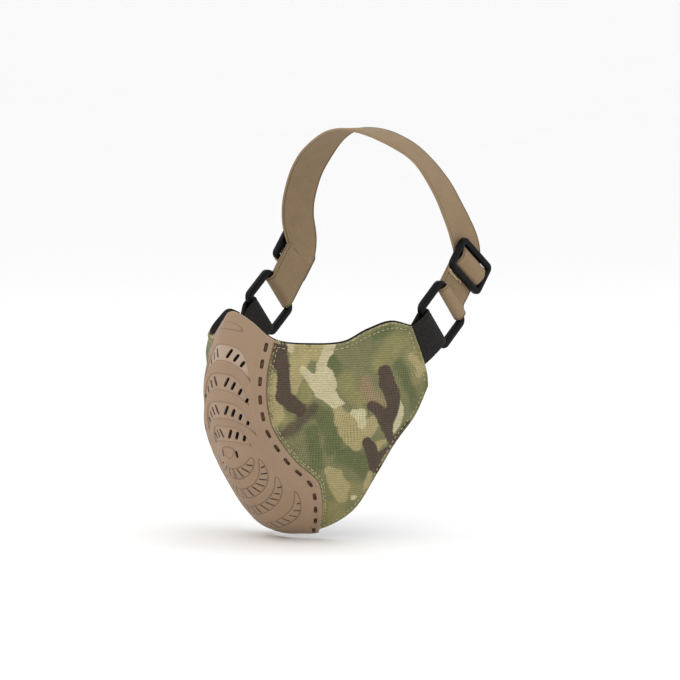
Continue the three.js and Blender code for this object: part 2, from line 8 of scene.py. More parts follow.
import bmesh
import bpy
import numpy as np
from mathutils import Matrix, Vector


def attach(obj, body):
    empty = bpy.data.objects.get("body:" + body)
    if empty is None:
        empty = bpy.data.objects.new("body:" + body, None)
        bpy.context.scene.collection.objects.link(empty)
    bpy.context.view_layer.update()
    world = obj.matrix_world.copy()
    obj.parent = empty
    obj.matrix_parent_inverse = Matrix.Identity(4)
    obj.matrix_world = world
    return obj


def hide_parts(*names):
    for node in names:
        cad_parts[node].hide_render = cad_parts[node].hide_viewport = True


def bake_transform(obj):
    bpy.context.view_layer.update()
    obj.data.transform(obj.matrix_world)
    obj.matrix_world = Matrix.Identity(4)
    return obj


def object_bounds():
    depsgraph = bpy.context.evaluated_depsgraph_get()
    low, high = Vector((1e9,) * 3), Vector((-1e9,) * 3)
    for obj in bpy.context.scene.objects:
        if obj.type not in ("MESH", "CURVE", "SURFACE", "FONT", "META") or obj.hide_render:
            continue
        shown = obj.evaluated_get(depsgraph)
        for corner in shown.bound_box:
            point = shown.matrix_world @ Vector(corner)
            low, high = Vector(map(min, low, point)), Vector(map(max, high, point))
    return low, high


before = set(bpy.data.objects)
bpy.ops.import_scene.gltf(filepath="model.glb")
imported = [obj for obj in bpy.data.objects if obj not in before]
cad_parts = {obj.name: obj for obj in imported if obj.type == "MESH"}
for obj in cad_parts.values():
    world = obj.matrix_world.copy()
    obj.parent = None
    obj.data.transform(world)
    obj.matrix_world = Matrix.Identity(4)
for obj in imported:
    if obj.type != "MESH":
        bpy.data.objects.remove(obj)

bl_info = {
    "name": "Camouflage Face Mask",
    "version": (1, 0, 0),
    "blender": (4, 5, 0),
    "location": "View3D > Sidebar > Face Mask",
    "description": "Builds a moulded and sewn lower-face mask round its packed solids",
    "category": "Add Mesh",
}

CAD_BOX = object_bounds()
MM = 0.001

# ---- the face form ----
RIBS = (
    ((0, -96, 20.8), (0, -103.7, 1.6), (0, -106, -18.6), (0, -105.6, -35), (0, -102.2, -48.7),
     (0, -94.8, -71.4), (0, -79.5, -94), (0, -68, -104), (0, -50.5, -111.5)),
    ((9.5, -92, 15.5), (12, -97.5, -0.5), (12.5, -102.5, -19.5), (13, -101.5, -36), (14, -97, -49),
     (16.5, -84, -74), (15, -70, -95), (12.5, -61, -104.5), (10, -49.5, -111)),
    ((23, -86.5, 5), (23, -92.5, -11.5), (23.5, -94.5, -24), (24, -93.5, -36), (26, -91.5, -46),
     (31, -78.5, -65), (35.5, -63.5, -78.5), (30.5, -54.5, -94), (18.5, -43.5, -110.5)),
    ((39.5, -73.5, 2.5), (37.5, -77, -24), (40.5, -70.5, -48.5), (43, -52.5, -73), (41, -38, -97)),
    ((55, -61, 4), (52, -63, -14.5), (52.5, -56, -35), (54.5, -44, -58.5), (53, -30.5, -75.5)),
    ((61, -47, 10.5), (61, -44.5, -17.5), (61.5, -35, -39), (60.5, -23, -57.5)),
    ((66.5, -33, 14.5), (67, -29, -3), (67.5, -21.5, -21.5), (66.5, -11.5, -41)),
    ((70.3, -19.5, 11.5), (71, -12.5, -3), (71, -6.5, -16.5), (70.6, -5, -24.5)),
)
PLATE_RIB = 2     # the seam between the plate and the cheek
REAR_RIB = 7      # the cheek's rear edge
CHEEK_RIBS = REAR_RIB - PLATE_RIB
MOUTH_DOWN = 0.531
MIRROR = np.array((-1.0, 1.0, 1.0))
OUT = np.array((1.0, 0.0, 0.0))


def on_side(side, points):
    """Points or directions of the left side, mirrored for the right."""
    return points * MIRROR if side == "right" else points


def unit(vectors):
    return vectors / np.linalg.norm(vectors, axis=-1, keepdims=True)


def smooth(low, high, value):
    share = np.clip((value - low) / (high - low), 0, 1)
    return share * share * (3 - 2 * share)


def through(points, share):
    """Centripetal Catmull-Rom curve through the points, at shares of its knots."""
    points = np.asarray(points, float)
    share = np.atleast_1d(np.asarray(share, float))
    if points.ndim == 2:
        points = np.broadcast_to(points, (len(share), *points.shape))
    count = points.shape[1]
    first, last = 2 * points[:, :1] - points[:, 1:2], 2 * points[:, -1:] - points[:, -2:-1]
    longer = np.concatenate([first, points, last], 1)
    knot = np.clip((share * (count - 1)).astype(int), 0, count - 2)
    weight = (share * (count - 1) - knot)[:, None]
    row = np.arange(len(share))
    a, b, c, d = (longer[row, knot + step] for step in range(4))
    ab, bc, cd = (
        np.maximum(np.sum((after - before) ** 2, -1, keepdims=True) ** 0.25, 1e-4)
        for before, after in ((a, b), (b, c), (c, d))
    )
    leave = ((b - a) / ab - (c - a) / (ab + bc) + (c - b) / bc) * bc
    arrive = ((c - b) / bc - (d - b) / (bc + cd) + (d - c) / cd) * bc
    square = -3 * b + 3 * c - 2 * leave - arrive
    cube = 2 * b - 2 * c + leave + arrive
    return b + leave * weight + square * weight**2 + cube * weight**3


def lengths_along(points):
    """Distance from the start to each point, along the second last axis."""
    steps = np.linalg.norm(np.diff(points, axis=-2), axis=-1)
    return np.concatenate([np.zeros_like(steps[..., :1]), np.cumsum(steps, -1)], -1)


class Curve:
    """A curve that is read by share of its length."""

    def __init__(self, points, samples=1200):
        self.fine = through(points, np.linspace(0, 1, samples))
        self.at_length = lengths_along(self.fine)
        self.length = self.at_length[-1]

    def __call__(self, share):
        where = np.asarray(share, float) * self.length
        return np.stack([np.interp(where, self.at_length, self.fine[:, k]) for k in range(3)], -1)


class FaceForm:
    """The curved surface through the ribs, which every soft piece follows."""

    STEP = 0.004
    WALK_STEPS = 6

    def __init__(self):
        self.ribs = [Curve(points) for points in RIBS]

    def beside(self, across):
        """Places one small step to the left and to the right, within the rear edges."""
        return np.minimum(across + self.STEP, REAR_RIB), np.maximum(across - self.STEP, -REAR_RIB)

    def points(self, across, down):
        across, down = np.broadcast_arrays(np.asarray(across, float), np.asarray(down, float))
        flat = np.clip(down.ravel(), 0, 1)
        row = np.stack([rib(flat) for rib in self.ribs], 1)
        line = np.concatenate([row[:, :0:-1] * MIRROR, row], 1)
        share = (REAR_RIB + across.ravel()) / (2 * REAR_RIB)
        return through(line, share).reshape(*across.shape, 3)

    def frames(self, across, down):
        """Points, sizes of one rib and of the whole height there, and outward normals."""
        across, down = np.broadcast_arrays(np.asarray(across, float), np.asarray(down, float))
        left, right = self.beside(across)
        low, high = np.minimum(down + self.STEP, 1), np.maximum(down - self.STEP, 0)
        per_rib = (self.points(left, down) - self.points(right, down)) / (left - right)[..., None]
        per_down = (self.points(across, low) - self.points(across, high)) / (low - high)[..., None]
        return self.points(across, down), per_rib, per_down, unit(np.cross(per_down, per_rib))

    def walk(self, across, down, distance):
        """across, after so many millimetres along a row of the form."""
        across = np.asarray(across, float)
        for _ in range(self.WALK_STEPS):
            left, right = self.beside(across)
            run = np.linalg.norm(self.points(left, down) - self.points(right, down), axis=-1)
            across = across + distance / self.WALK_STEPS / run * (left - right)
            across = np.clip(across, -REAR_RIB, REAR_RIB)
        return across


FORM = FaceForm()


# ---- sizes and colours ----
WEBBING_WIDTH = 25
STRAP_THICKNESS = 1.3


def size(name, description, default):
    return bpy.props.FloatProperty(
        name=name, description=description, default=default, min=0.01, soft_max=200
    )


def dye(name, description, *default):
    return bpy.props.FloatVectorProperty(
        name=name, description=description, default=[part / 255 for part in default],
        size=3, min=0, max=1, subtype="COLOR_GAMMA",
    )


class MaskSizes(bpy.types.PropertyGroup):
    plate_thickness: size("Plate Thickness", "Wall of the moulded plate, in mm", 2.6)
    plate_gap: size("Plate Gap", "Between the plate and the cloth under it, in mm", 0.3)
    relief_depth: size("Relief Depth", "How far the arches are sunk into the plate, in mm", 0.75)
    cover_thickness: size("Cover Thickness", "Printed cloth of the cheeks, in mm", 0.8)
    lining_thickness: size("Lining Thickness", "Cloth against the face, in mm", 0.8)
    puff: size("Puff", "How far the padding lifts the cover between its seams, in mm", 1.1)
    stitch_pitch: size("Stitch Pitch", "From one stitch to the next, in mm", 3.1)
    stitch_length: size("Stitch Length", "Thread that shows of each stitch, in mm", 2.1)
    thread: size("Thread", "Thickness of the sewing thread, in mm", 0.5)
    webbing_width: size("Webbing Width", "Black webbing on the cheeks, in mm", WEBBING_WIDTH)
    webbing_thickness: size("Webbing Thickness", "Black webbing on the cheeks, in mm", 1.6)
    strap_width: size("Strap Width", "Elastic band, in mm", 25)
    strap_thickness: size("Strap Thickness", "Elastic band, in mm", STRAP_THICKNESS)
    ring_bar: size("Ring Bar", "Width of the ring's bars, in mm", 4.4)
    slider_bar: size("Slider Bar", "Width of the slider's bars, in mm", 3.8)


class MaskColours(bpy.types.PropertyGroup):
    plate: dye("Plate", "Moulded rubber of the front plate", 149, 124, 101)
    field: dye("Field", "Ground colour of the print", 117, 116, 82)
    deep: dye("Deep Green", "Darker green of the print", 94, 100, 66)
    khaki: dye("Khaki", "Colour between the green and the tan", 138, 131, 88)
    tan: dye("Tan", "Tan of the print", 160, 148, 106)
    pale: dye("Pale", "Lightest colour of the print", 186, 177, 141)
    rose: dye("Rose", "Pinkish brown of the print", 146, 124, 96)
    brown: dye("Brown", "Darkest colour of the print", 79, 66, 57)
    strap: dye("Strap", "Elastic band", 143, 121, 93)
    thread: dye("Thread", "Sewing thread", 192, 182, 132)
    fray: dye("Fray", "Loose ends of the elastic", 214, 180, 156)
    webbing: dye("Webbing", "Ribs of the black webbing", 32, 30, 27)
    black_cloth: dye("Black Cloth", "Lining and mesh", 29, 29, 30)
    plastic: dye("Plastic", "Ring and slider", 9, 9, 10)


def sizes():
    return bpy.context.scene.mask_sizes


def colour(name):
    """A colour property as the linear value that a shader takes."""
    gamma = np.array(getattr(bpy.context.scene.mask_colours, name))
    linear = np.where(gamma <= 0.04045, gamma / 12.92, ((gamma + 0.055) / 1.055) ** 2.4)
    return (*linear, 1.0)


# ---- meshes ----
def new_piece(name, points, faces, uv=None, material=None):
    """A smooth mesh object at the origin, from points in millimetres."""
    mesh = bpy.data.meshes.new(name)
    mesh.from_pydata((np.asarray(points) * MM).tolist(), [], faces)
    if uv is not None:
        layer = mesh.uv_layers.new(name="cloth")
        corner = np.empty(len(mesh.loops), np.int32)
        mesh.loops.foreach_get("vertex_index", corner)
        layer.data.foreach_set("uv", (np.asarray(uv, float)[corner] * MM).ravel())
    mesh.shade_smooth()
    piece = bpy.data.objects.new(name, mesh)
    bpy.context.scene.collection.objects.link(piece)
    if material:
        mesh.materials.append(material)
    return piece


def grid_faces(rows, columns, start=0, flip=False):
    at = start + np.arange(rows * columns).reshape(rows, columns)
    quads = np.stack([at[:-1, :-1], at[1:, :-1], at[1:, 1:], at[:-1, 1:]], -1).reshape(-1, 4)
    return (quads[:, ::-1] if flip else quads).tolist()


def shell(name, outer, inner, uv, material, side="left"):
    """A closed shell between two grids of points, rows going down and columns to the left."""
    rows, columns = outer.shape[:2]
    count = rows * columns
    faces = grid_faces(rows, columns) + grid_faces(rows, columns, count, True)
    at = np.arange(count).reshape(rows, columns)
    rim = np.concatenate([at[:, 0], at[-1, 1:], at[-2::-1, -1], at[0, -2:0:-1]])
    after = np.roll(rim, -1)
    faces += np.stack([rim, rim + count, after + count, after], -1).tolist()
    points = np.concatenate([outer.reshape(-1, 3), inner.reshape(-1, 3)])
    flat = np.concatenate([uv.reshape(-1, 2)] * 2)
    if side == "right":
        faces = [face[::-1] for face in faces]
    return new_piece(name, on_side(side, points), faces, flat, material)


def keep_sharp(piece, degrees):
    piece.data.set_sharp_from_angle(angle=math.radians(degrees))


def store(piece, name, values):
    """Keeps one number for each point of a piece, for its material."""
    attribute = piece.data.attributes.new(name, "FLOAT", "POINT")
    attribute.data.foreach_set("value", np.asarray(values, np.float32).ravel())


def tube(points, radius, sides=8):
    """Points and faces of a closed round tube along a line."""
    points = np.asarray(points, float)
    along = unit(np.gradient(points, axis=0))
    side = unit(np.cross(along, (0.31, 0.22, 0.92)))
    lift = np.cross(along, side)
    angle = np.linspace(0, 2 * math.pi, sides, endpoint=False)
    radii = radius * np.r_[0.5, np.ones(len(points) - 2), 0.5]
    ring = side[:, None] * np.cos(angle)[:, None] + lift[:, None] * np.sin(angle)[:, None]
    rings = points[:, None] + ring * radii[:, None, None]
    return loft(rings)


def loft(rings):
    """Closed skin over rings of points that all run the same way round, with capped ends."""
    count, sides = rings.shape[:2]
    at = np.arange(count * sides).reshape(count, sides)
    after = np.roll(at, -1, 1)
    quads = np.stack([at[:-1], after[:-1], after[1:], at[1:]], -1).reshape(-1, 4)
    faces = quads.tolist() + [at[0, ::-1].tolist(), at[-1].tolist()]
    return rings.reshape(-1, 3), faces


def joined(parts):
    """One set of points and faces from several."""
    points, faces, start = [], [], 0
    for some, some_faces in parts:
        points.append(some)
        faces += [[corner + start for corner in face] for face in some_faces]
        start += len(some)
    return np.concatenate(points), faces


def face_outward(piece):
    """Turns a closed piece's faces outward."""
    work = bmesh.new()
    work.from_mesh(piece.data)
    bmesh.ops.recalc_face_normals(work, faces=work.faces)
    work.to_mesh(piece.data)
    work.free()


# ---- pieces that repeat, made by geometry nodes ----
class Net:
    """Adds nodes to one tree and wires them."""

    def __init__(self, tree):
        self.tree = tree

    def add(self, kind, inputs=(), **settings):
        node = self.tree.nodes.new(kind)
        for name, value in settings.items():
            setattr(node, name, value)
        for name, value in dict(inputs).items():
            self.feed(node.inputs[name], value)
        return node

    def feed(self, socket, value):
        if isinstance(value, bpy.types.NodeSocket):
            self.tree.links.new(value, socket)
        else:
            socket.default_value = value

    def math(self, operation, *values):
        return self.add("ShaderNodeMath", enumerate(values), operation=operation).outputs[0]

    def mix(self, factor, first, second):
        inputs = {0: factor, 6: first, 7: second}
        return self.add("ShaderNodeMix", inputs, data_type="RGBA").outputs[2]

    def ease(self, value, low, high, start=0.0, end=1.0):
        inputs = {0: value, 1: low, 2: high, 3: start, 4: end}
        return self.add("ShaderNodeMapRange", inputs, interpolation_type="SMOOTHSTEP").outputs[0]

    def noise(self, place, scale, detail=2.0, rough=0.5):
        inputs = {"Vector": place, "Scale": scale, "Detail": detail, "Roughness": rough}
        return self.add("ShaderNodeTexNoise", inputs).outputs[0]

    def use(self, group, **inputs):
        node = self.add("ShaderNodeGroup", node_tree=group)
        for name, value in inputs.items():
            self.feed(node.inputs[name.replace("_", " ").title()], value)
        return node


def socket_of(tree, name):
    found = [item for item in tree.interface.items_tree if item.name == name]
    return found[0].identifier


def placing_tree(name, solid):
    """Sets one small solid on each point, by its stored along, up and share of the full size."""
    tree = bpy.data.node_groups.new(name, "GeometryNodeTree")
    for label, kind in (("Places", "NodeSocketGeometry"), ("Length", "NodeSocketFloat"),
                        ("Width", "NodeSocketFloat"), ("Height", "NodeSocketFloat"),
                        ("Finish", "NodeSocketMaterial")):
        tree.interface.new_socket(name=label, in_out="INPUT", socket_type=kind)
    tree.interface.new_socket(name="Pieces", in_out="OUTPUT", socket_type="NodeSocketGeometry")
    net = Net(tree)
    given = net.add("NodeGroupInput").outputs

    def stored(label):
        return net.add(
            "GeometryNodeInputNamedAttribute", {"Name": label}, data_type="FLOAT_VECTOR"
        ).outputs[0]

    rise = net.add(
        "FunctionNodeAlignRotationToVector", {"Vector": stored("up")}, axis="Z"
    ).outputs[0]
    turn = net.add(
        "FunctionNodeAlignRotationToVector", {"Rotation": rise, "Vector": stored("along")},
        axis="X", pivot_axis="Z",
    ).outputs[0]
    full = net.add(
        "ShaderNodeCombineXYZ", {0: given["Length"], 1: given["Width"], 2: given["Height"]}
    ).outputs[0]
    scale = net.add("ShaderNodeVectorMath", {0: full, 1: stored("share")}, operation="MULTIPLY")
    placed = net.add("GeometryNodeInstanceOnPoints", {
        "Points": given["Places"], "Instance": solid(net), "Rotation": turn,
        "Scale": scale.outputs[0],
    })
    real = net.add("GeometryNodeRealizeInstances", {"Geometry": placed.outputs[0]})
    done = net.add(
        "GeometryNodeSetMaterial", {"Geometry": real.outputs[0], "Material": given["Finish"]}
    )
    net.add("NodeGroupOutput", {"Pieces": done.outputs[0]})
    return tree


def rounded_block(net):
    """A prism that is a rectangle with rounded ends once it is stretched."""
    prism = net.add("GeometryNodeMeshCylinder", {"Vertices": 20, "Radius": 0.5, "Depth": 1.0})
    place = net.add("GeometryNodeInputPosition").outputs[0]
    sides = net.add("ShaderNodeSeparateXYZ", {0: place}).outputs

    def swollen(side):
        root = net.math("POWER", net.math("MULTIPLY", net.math("ABSOLUTE", side), 2.0), 0.5)
        return net.math("MULTIPLY", net.math("SIGN", side), net.math("MULTIPLY", root, 0.5))

    moved = net.add(
        "ShaderNodeCombineXYZ", {0: swollen(sides[0]), 1: swollen(sides[1]), 2: sides[2]}
    )
    inputs = {"Geometry": prism.outputs[0], "Position": moved.outputs[0]}
    return net.add("GeometryNodeSetPosition", inputs).outputs[0]


def bead(net):
    ball = net.add("GeometryNodeMeshUVSphere", {"Segments": 8, "Rings": 6, "Radius": 0.5})
    return ball.outputs[0]


def placed_pieces(name, solid, points, along, up, full, share=None, material=None):
    """One mesh of small solids set on points: full is their length, width and height in mm."""
    tree = bpy.data.node_groups.get(solid.__name__) or placing_tree(solid.__name__, solid)
    piece = new_piece(name, points, [])
    share = np.ones((len(points), 3)) if share is None else np.asarray(share, float)
    for label, values in (("along", along), ("up", up), ("share", share)):
        attribute = piece.data.attributes.new(label, "FLOAT_VECTOR", "POINT")
        attribute.data.foreach_set("vector", np.asarray(values, np.float32).ravel())
    modifier = piece.modifiers.new("pieces", "NODES")
    modifier.node_group = tree
    for label, value in zip(("Length", "Width", "Height"), full):
        modifier[socket_of(tree, label)] = value * MM
    if material:
        modifier[socket_of(tree, "Finish")] = material
    make_plain(piece)
    for label in ("along", "up", "share"):
        if label in piece.data.attributes:
            piece.data.attributes.remove(piece.data.attributes[label])
    piece.data.shade_smooth()
    return piece


def make_plain(piece):
    """Turns what a piece's modifiers make into its own mesh."""
    bpy.context.view_layer.update()
    shown = piece.evaluated_get(bpy.context.evaluated_depsgraph_get())
    mesh = bpy.data.meshes.new_from_object(shown)
    piece.modifiers.clear()
    old = piece.data
    piece.data = mesh
    bpy.data.meshes.remove(old)
    piece.data.name = piece.name


def cut(piece, tool, operation="DIFFERENCE"):
    """Cuts one closed piece from another, or joins it, and removes it."""
    modifier = piece.modifiers.new("cut", "BOOLEAN")
    modifier.operation = operation
    modifier.object = tool
    modifier.solver = "MANIFOLD"
    make_plain(piece)
    bpy.data.objects.remove(tool)


def ready(piece, body, *nodes):
    """A finished piece follows its body and stands for its solids."""
    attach(piece, body)
    if nodes:
        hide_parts(*nodes)
    return piece


# ---- finishes ----
def shader_group(name, inputs, outputs):
    tree = bpy.data.node_groups.new(name, "ShaderNodeTree")
    for label, kind, default in inputs:
        made = tree.interface.new_socket(name=label, in_out="INPUT", socket_type=kind)
        if default is not None:
            made.default_value = default
    for label, kind in outputs:
        tree.interface.new_socket(name=label, in_out="OUTPUT", socket_type=kind)
    net = Net(tree)
    return tree, net, net.add("NodeGroupInput").outputs


def mottle_group():
    """Soft variation of tone, with fine grain on top."""
    tree, net, given = shader_group("mottle", (
        ("Place", "NodeSocketVector", None), ("Broad", "NodeSocketFloat", 40.0),
        ("Fine", "NodeSocketFloat", 900.0), ("Amount", "NodeSocketFloat", 0.15),
    ), (("Tone", "NodeSocketFloat"), ("Grain", "NodeSocketFloat")))
    broad = net.noise(given["Place"], given["Broad"], 3.0)
    fine = net.noise(given["Place"], given["Fine"], 2.0)
    both = net.math("ADD", net.math("MULTIPLY", broad, 0.65), net.math("MULTIPLY", fine, 0.35))
    spread = net.math("MULTIPLY", given["Amount"], 2.0)
    tone = net.math("MULTIPLY_ADD", net.math("SUBTRACT", both, 0.5), spread, 1.0)
    net.add("NodeGroupOutput", {"Tone": tone, "Grain": fine})
    return tree


def weave_group():
    """Two sets of threads: rows run along the first coordinate and ribs along the second."""
    tree, net, given = shader_group("weave", (
        ("Across", "NodeSocketFloat", None), ("Along", "NodeSocketFloat", None),
        ("Rib", "NodeSocketFloat", 1.0), ("Row", "NodeSocketFloat", 1.0),
        ("Slant", "NodeSocketFloat", 0.0), ("Contrast", "NodeSocketFloat", 0.3),
        ("Place", "NodeSocketVector", None),
    ), (("Height", "NodeSocketFloat"), ("Shade", "NodeSocketFloat")))
    across, along = given["Across"], given["Along"]
    sway = net.math("SUBTRACT", net.noise(given["Place"], 260.0, 2.0), 0.5)
    sway = net.math("MULTIPLY", sway, 0.0003)
    leaned = net.math("ADD", across, net.math("MULTIPLY", along, given["Slant"]))

    def threads(place, pitch):
        turns = net.math("DIVIDE", net.math("ADD", place, sway), pitch)
        return net.math("SINE", net.math("MULTIPLY", turns, 2 * math.pi / MM))

    stretched = net.add("ShaderNodeCombineXYZ", {
        0: net.math("MULTIPLY", across, 330.0), 1: net.math("MULTIPLY", along, 1500.0),
    }).outputs[0]
    streaks = net.math("SUBTRACT", net.noise(stretched, 1.0, 1.0), 0.5)
    rough = net.math("SUBTRACT", net.noise(given["Place"], 1500.0, 2.0), 0.5)
    both = net.math("MULTIPLY_ADD", threads(leaned, given["Rib"]), 0.24,
                    net.math("MULTIPLY_ADD", threads(along, given["Row"]), 0.24, 0.5))
    loose = net.math("MULTIPLY_ADD", streaks, 0.9, net.math("MULTIPLY", rough, 0.5))
    height = net.math("ADD", both, loose)
    shade = net.math("MULTIPLY_ADD", net.math("SUBTRACT", height, 0.5), given["Contrast"], 1.0)
    net.add("NodeGroupOutput", {"Height": height, "Shade": net.math("MAXIMUM", shade, 0.05)})
    return tree


def print_group():
    """Mask of one colour of the print, from the distance to its patches in millimetres."""
    tree, net, given = shader_group("print_edge", (
        ("Distance", "NodeSocketFloat", None), ("Place", "NodeSocketVector", None),
        ("Softness", "NodeSocketFloat", 0.5), ("Strength", "NodeSocketFloat", 1.0),
    ), (("Mask", "NodeSocketFloat"),))
    wander = net.math("SUBTRACT", net.noise(given["Place"], 95.0, 4.0, 0.6), 0.5)
    grain = net.math("SUBTRACT", net.noise(given["Place"], 1500.0, 1.0), 0.5)
    moved = net.math("MULTIPLY_ADD", wander, 6.0, net.math("MULTIPLY", grain, 2.0))
    edge = net.math("ADD", given["Distance"], moved)
    low = net.math("MULTIPLY", given["Softness"], -1.0)
    mask = net.ease(edge, low, given["Softness"], 1.0, 0.0)
    net.add("NodeGroupOutput", {"Mask": net.math("MULTIPLY", mask, given["Strength"])})
    return tree


def wear_and_hollow_shade_group():
    """Lightens raised edges where they rub, and darkens hollows with painted shade."""
    tree, net, given = shader_group("wear_and_hollow_shade", (
        ("Color", "NodeSocketColor", None), ("Place", "NodeSocketVector", None),
        ("Light", "NodeSocketFloat", 0.3), ("Dark", "NodeSocketFloat", 0.3),
    ), (("Color", "NodeSocketColor"),))
    bend = net.add("ShaderNodeNewGeometry").outputs["Pointiness"]
    patchy = net.noise(given["Place"], 300.0, 3.0)
    lit = net.math("MULTIPLY", given["Light"], patchy)
    raised = net.math("MULTIPLY", net.ease(bend, 0.515, 0.6), lit)
    # painted shade: the hollows are darkened towards near black
    sunk = net.math("MULTIPLY", net.ease(bend, 0.49, 0.42), given["Dark"])
    lighter = net.mix(raised, given["Color"], (0.75, 0.7, 0.62, 1))
    net.add("NodeGroupOutput", {"Color": net.mix(sunk, lighter, (0.01, 0.008, 0.006, 1))})
    return tree


MADE = {}


def once(maker, *values, **named):
    """Makes each finish and each of their groups a single time."""
    key = (maker.__name__, *values)
    if key not in MADE:
        MADE[key] = maker(*values, **named)
    return MADE[key]


def finish(name, roughness, **plain):
    """A new material: its net, its shader and its object coordinates."""
    material = bpy.data.materials.new(name)
    material.use_nodes = True
    net = Net(material.node_tree)
    shader = material.node_tree.nodes["Principled BSDF"]
    shader.inputs["Roughness"].default_value = roughness
    for label, value in plain.items():
        shader.inputs[label.replace("_", " ").title().replace("Ior", "IOR")].default_value = value
    place = net.add("ShaderNodeTexCoord").outputs["Object"]
    return material, net, shader, place


def bump(net, shader, height, strength, depth):
    inputs = {"Height": height, "Strength": strength, "Distance": depth * MM}
    net.feed(shader.inputs["Normal"], net.add("ShaderNodeBump", inputs).outputs[0])


def toned(net, shade, first):
    """A colour multiplied by a tone."""
    grey = net.add("ShaderNodeCombineColor", {0: shade, 1: shade, 2: shade}).outputs[0]
    inputs = {0: 1.0, 6: first, 7: grey}
    mixed = net.add("ShaderNodeMix", inputs, data_type="RGBA", blend_type="MULTIPLY")
    return mixed.outputs[2]


def stored_value(net, name):
    return net.add("ShaderNodeAttribute", attribute_name=name).outputs["Fac"]


def cloth_sides(net):
    """Across and along the cloth, from its own map, in metres."""
    flat = net.add("ShaderNodeUVMap", uv_map="cloth").outputs[0]
    parts = net.add("ShaderNodeSeparateXYZ", {0: flat}).outputs
    return parts[0], parts[1]


# painted light: lighter colour for the sunk floors of the arches
SUNK_FLOOR_PAINTED_LIGHT = (0.56, 0.45, 0.35, 1)
# painted shade along the edges of the plate's sunk marks
RECESS_EDGE_PAINTED_SHADE = (0.09, 0.055, 0.035, 1)
# painted shade on the cheek cloth under the plate and along its edge
UNDER_PLATE_PAINTED_SHADE = (0.24, 0.14, 0.085, 1)
# painted shadow line near each edge of the elastic band
BAND_EDGE_PAINTED_SHADOW = (0.05, 0.035, 0.025, 1)
OUTLINES = (("crescent", 1.0), ("mouth", 0.9), ("tongue", 0.6), ("arch", 0.5))   # and the strengths of the painted shade along their edges


def rubber():
    material, net, shader, place = finish("moulded_rubber", 0.62, specular_ior_level=0.3)
    mottle = net.use(once(mottle_group), place=place, broad=55.0, fine=1600.0, amount=0.17)
    floor = stored_value(net, "floor")
    # painted light: the sunk floors are made lighter, most in the top row
    base = net.mix(net.ease(floor, 0.0, 1.0, 0.0, 0.35), colour("plate"), SUNK_FLOOR_PAINTED_LIGHT)
    # painted shade along the edges of the sunk marks, from their outlines
    line = 0.0
    for outline, strength in OUTLINES:
        far = net.math("ABSOLUTE", stored_value(net, outline))
        line = net.math("MAXIMUM", line, net.ease(far, 0.12, 0.42, strength, 0.0))
    # darkens the rubber along those edges with painted shade
    drawn = net.mix(net.math("MULTIPLY", line, 0.62), base, RECESS_EDGE_PAINTED_SHADE)
    # raised edges lighter where they rub, and painted shade in the hollows
    worn_and_shaded = net.use(once(wear_and_hollow_shade_group), color=drawn, place=place, light=0.35, dark=0.75)
    net.feed(shader.inputs["Base Color"], toned(net, mottle.outputs["Tone"], worn_and_shaded.outputs[0]))
    net.feed(shader.inputs["Roughness"], net.ease(floor, 0.0, 1.0, 0.62, 0.42))
    height = net.math("MULTIPLY_ADD", mottle.outputs["Grain"], 0.25, net.math("MULTIPLY", line, -1.0))
    bump(net, shader, height, 0.5, 0.3)
    return material


PRINT = (   # patches, their colour, how soft their edges are in mm, and how strong they print
    ("deep", "deep", 2.0, 0.9), ("khaki", "khaki", 3.0, 0.85), ("tan", "tan", 0.7, 0.95),
    ("pale", "pale", 0.45, 1.0), ("rose", "rose", 2.6, 0.8), ("smoke", "brown", 2.2, 0.75),
    ("brown", "brown", 0.45, 0.97),
)


def camouflage():
    material, net, shader, place = finish(
        "printed_twill", 0.9, sheen_weight=0.06, sheen_roughness=0.5, specular_ior_level=0.15
    )
    shade = colour("field")
    for patches, ink, softness, strength in PRINT:
        mask = net.use(
            once(print_group), distance=stored_value(net, patches), place=place,
            softness=softness, strength=strength,
        )
        shade = net.mix(mask.outputs[0], shade, colour(ink))
    across, along = cloth_sides(net)
    weave = net.use(
        once(weave_group), across=across, along=along, rib=1.1, row=1.3, slant=0.8,
        contrast=0.62, place=place,
    )
    mottle = net.use(once(mottle_group), place=place, broad=120.0, fine=2200.0, amount=0.26)
    shade = toned(net, weave.outputs["Shade"], toned(net, mottle.outputs["Tone"], shade))
    seam = stored_value(net, "from_seam")
    # painted shade: the cloth under the plate and within 0.9 mm of its edge is darkened
    clear = net.ease(seam, -0.2, 0.9)
    shade = net.mix(clear, UNDER_PLATE_PAINTED_SHADE, shade)
    hem = net.ease(stored_value(net, "from_bound"), 0.4, 1.5, 1.0, 0.0)
    sewn = net.ease(net.math("ABSOLUTE", net.math("SUBTRACT", seam, 1.1)), 0.15, 0.6, 1.0, 0.0)
    loose = net.ease(net.noise(place, 700.0, 2.0), 0.45, 0.6)
    frayed = net.math("MULTIPLY", net.math("MAXIMUM", hem, sewn), net.math("MULTIPLY", loose, 0.6))
    net.feed(shader.inputs["Base Color"], net.mix(frayed, shade, colour("thread")))
    bump(net, shader, weave.outputs["Height"], 0.6, 0.3)
    return material


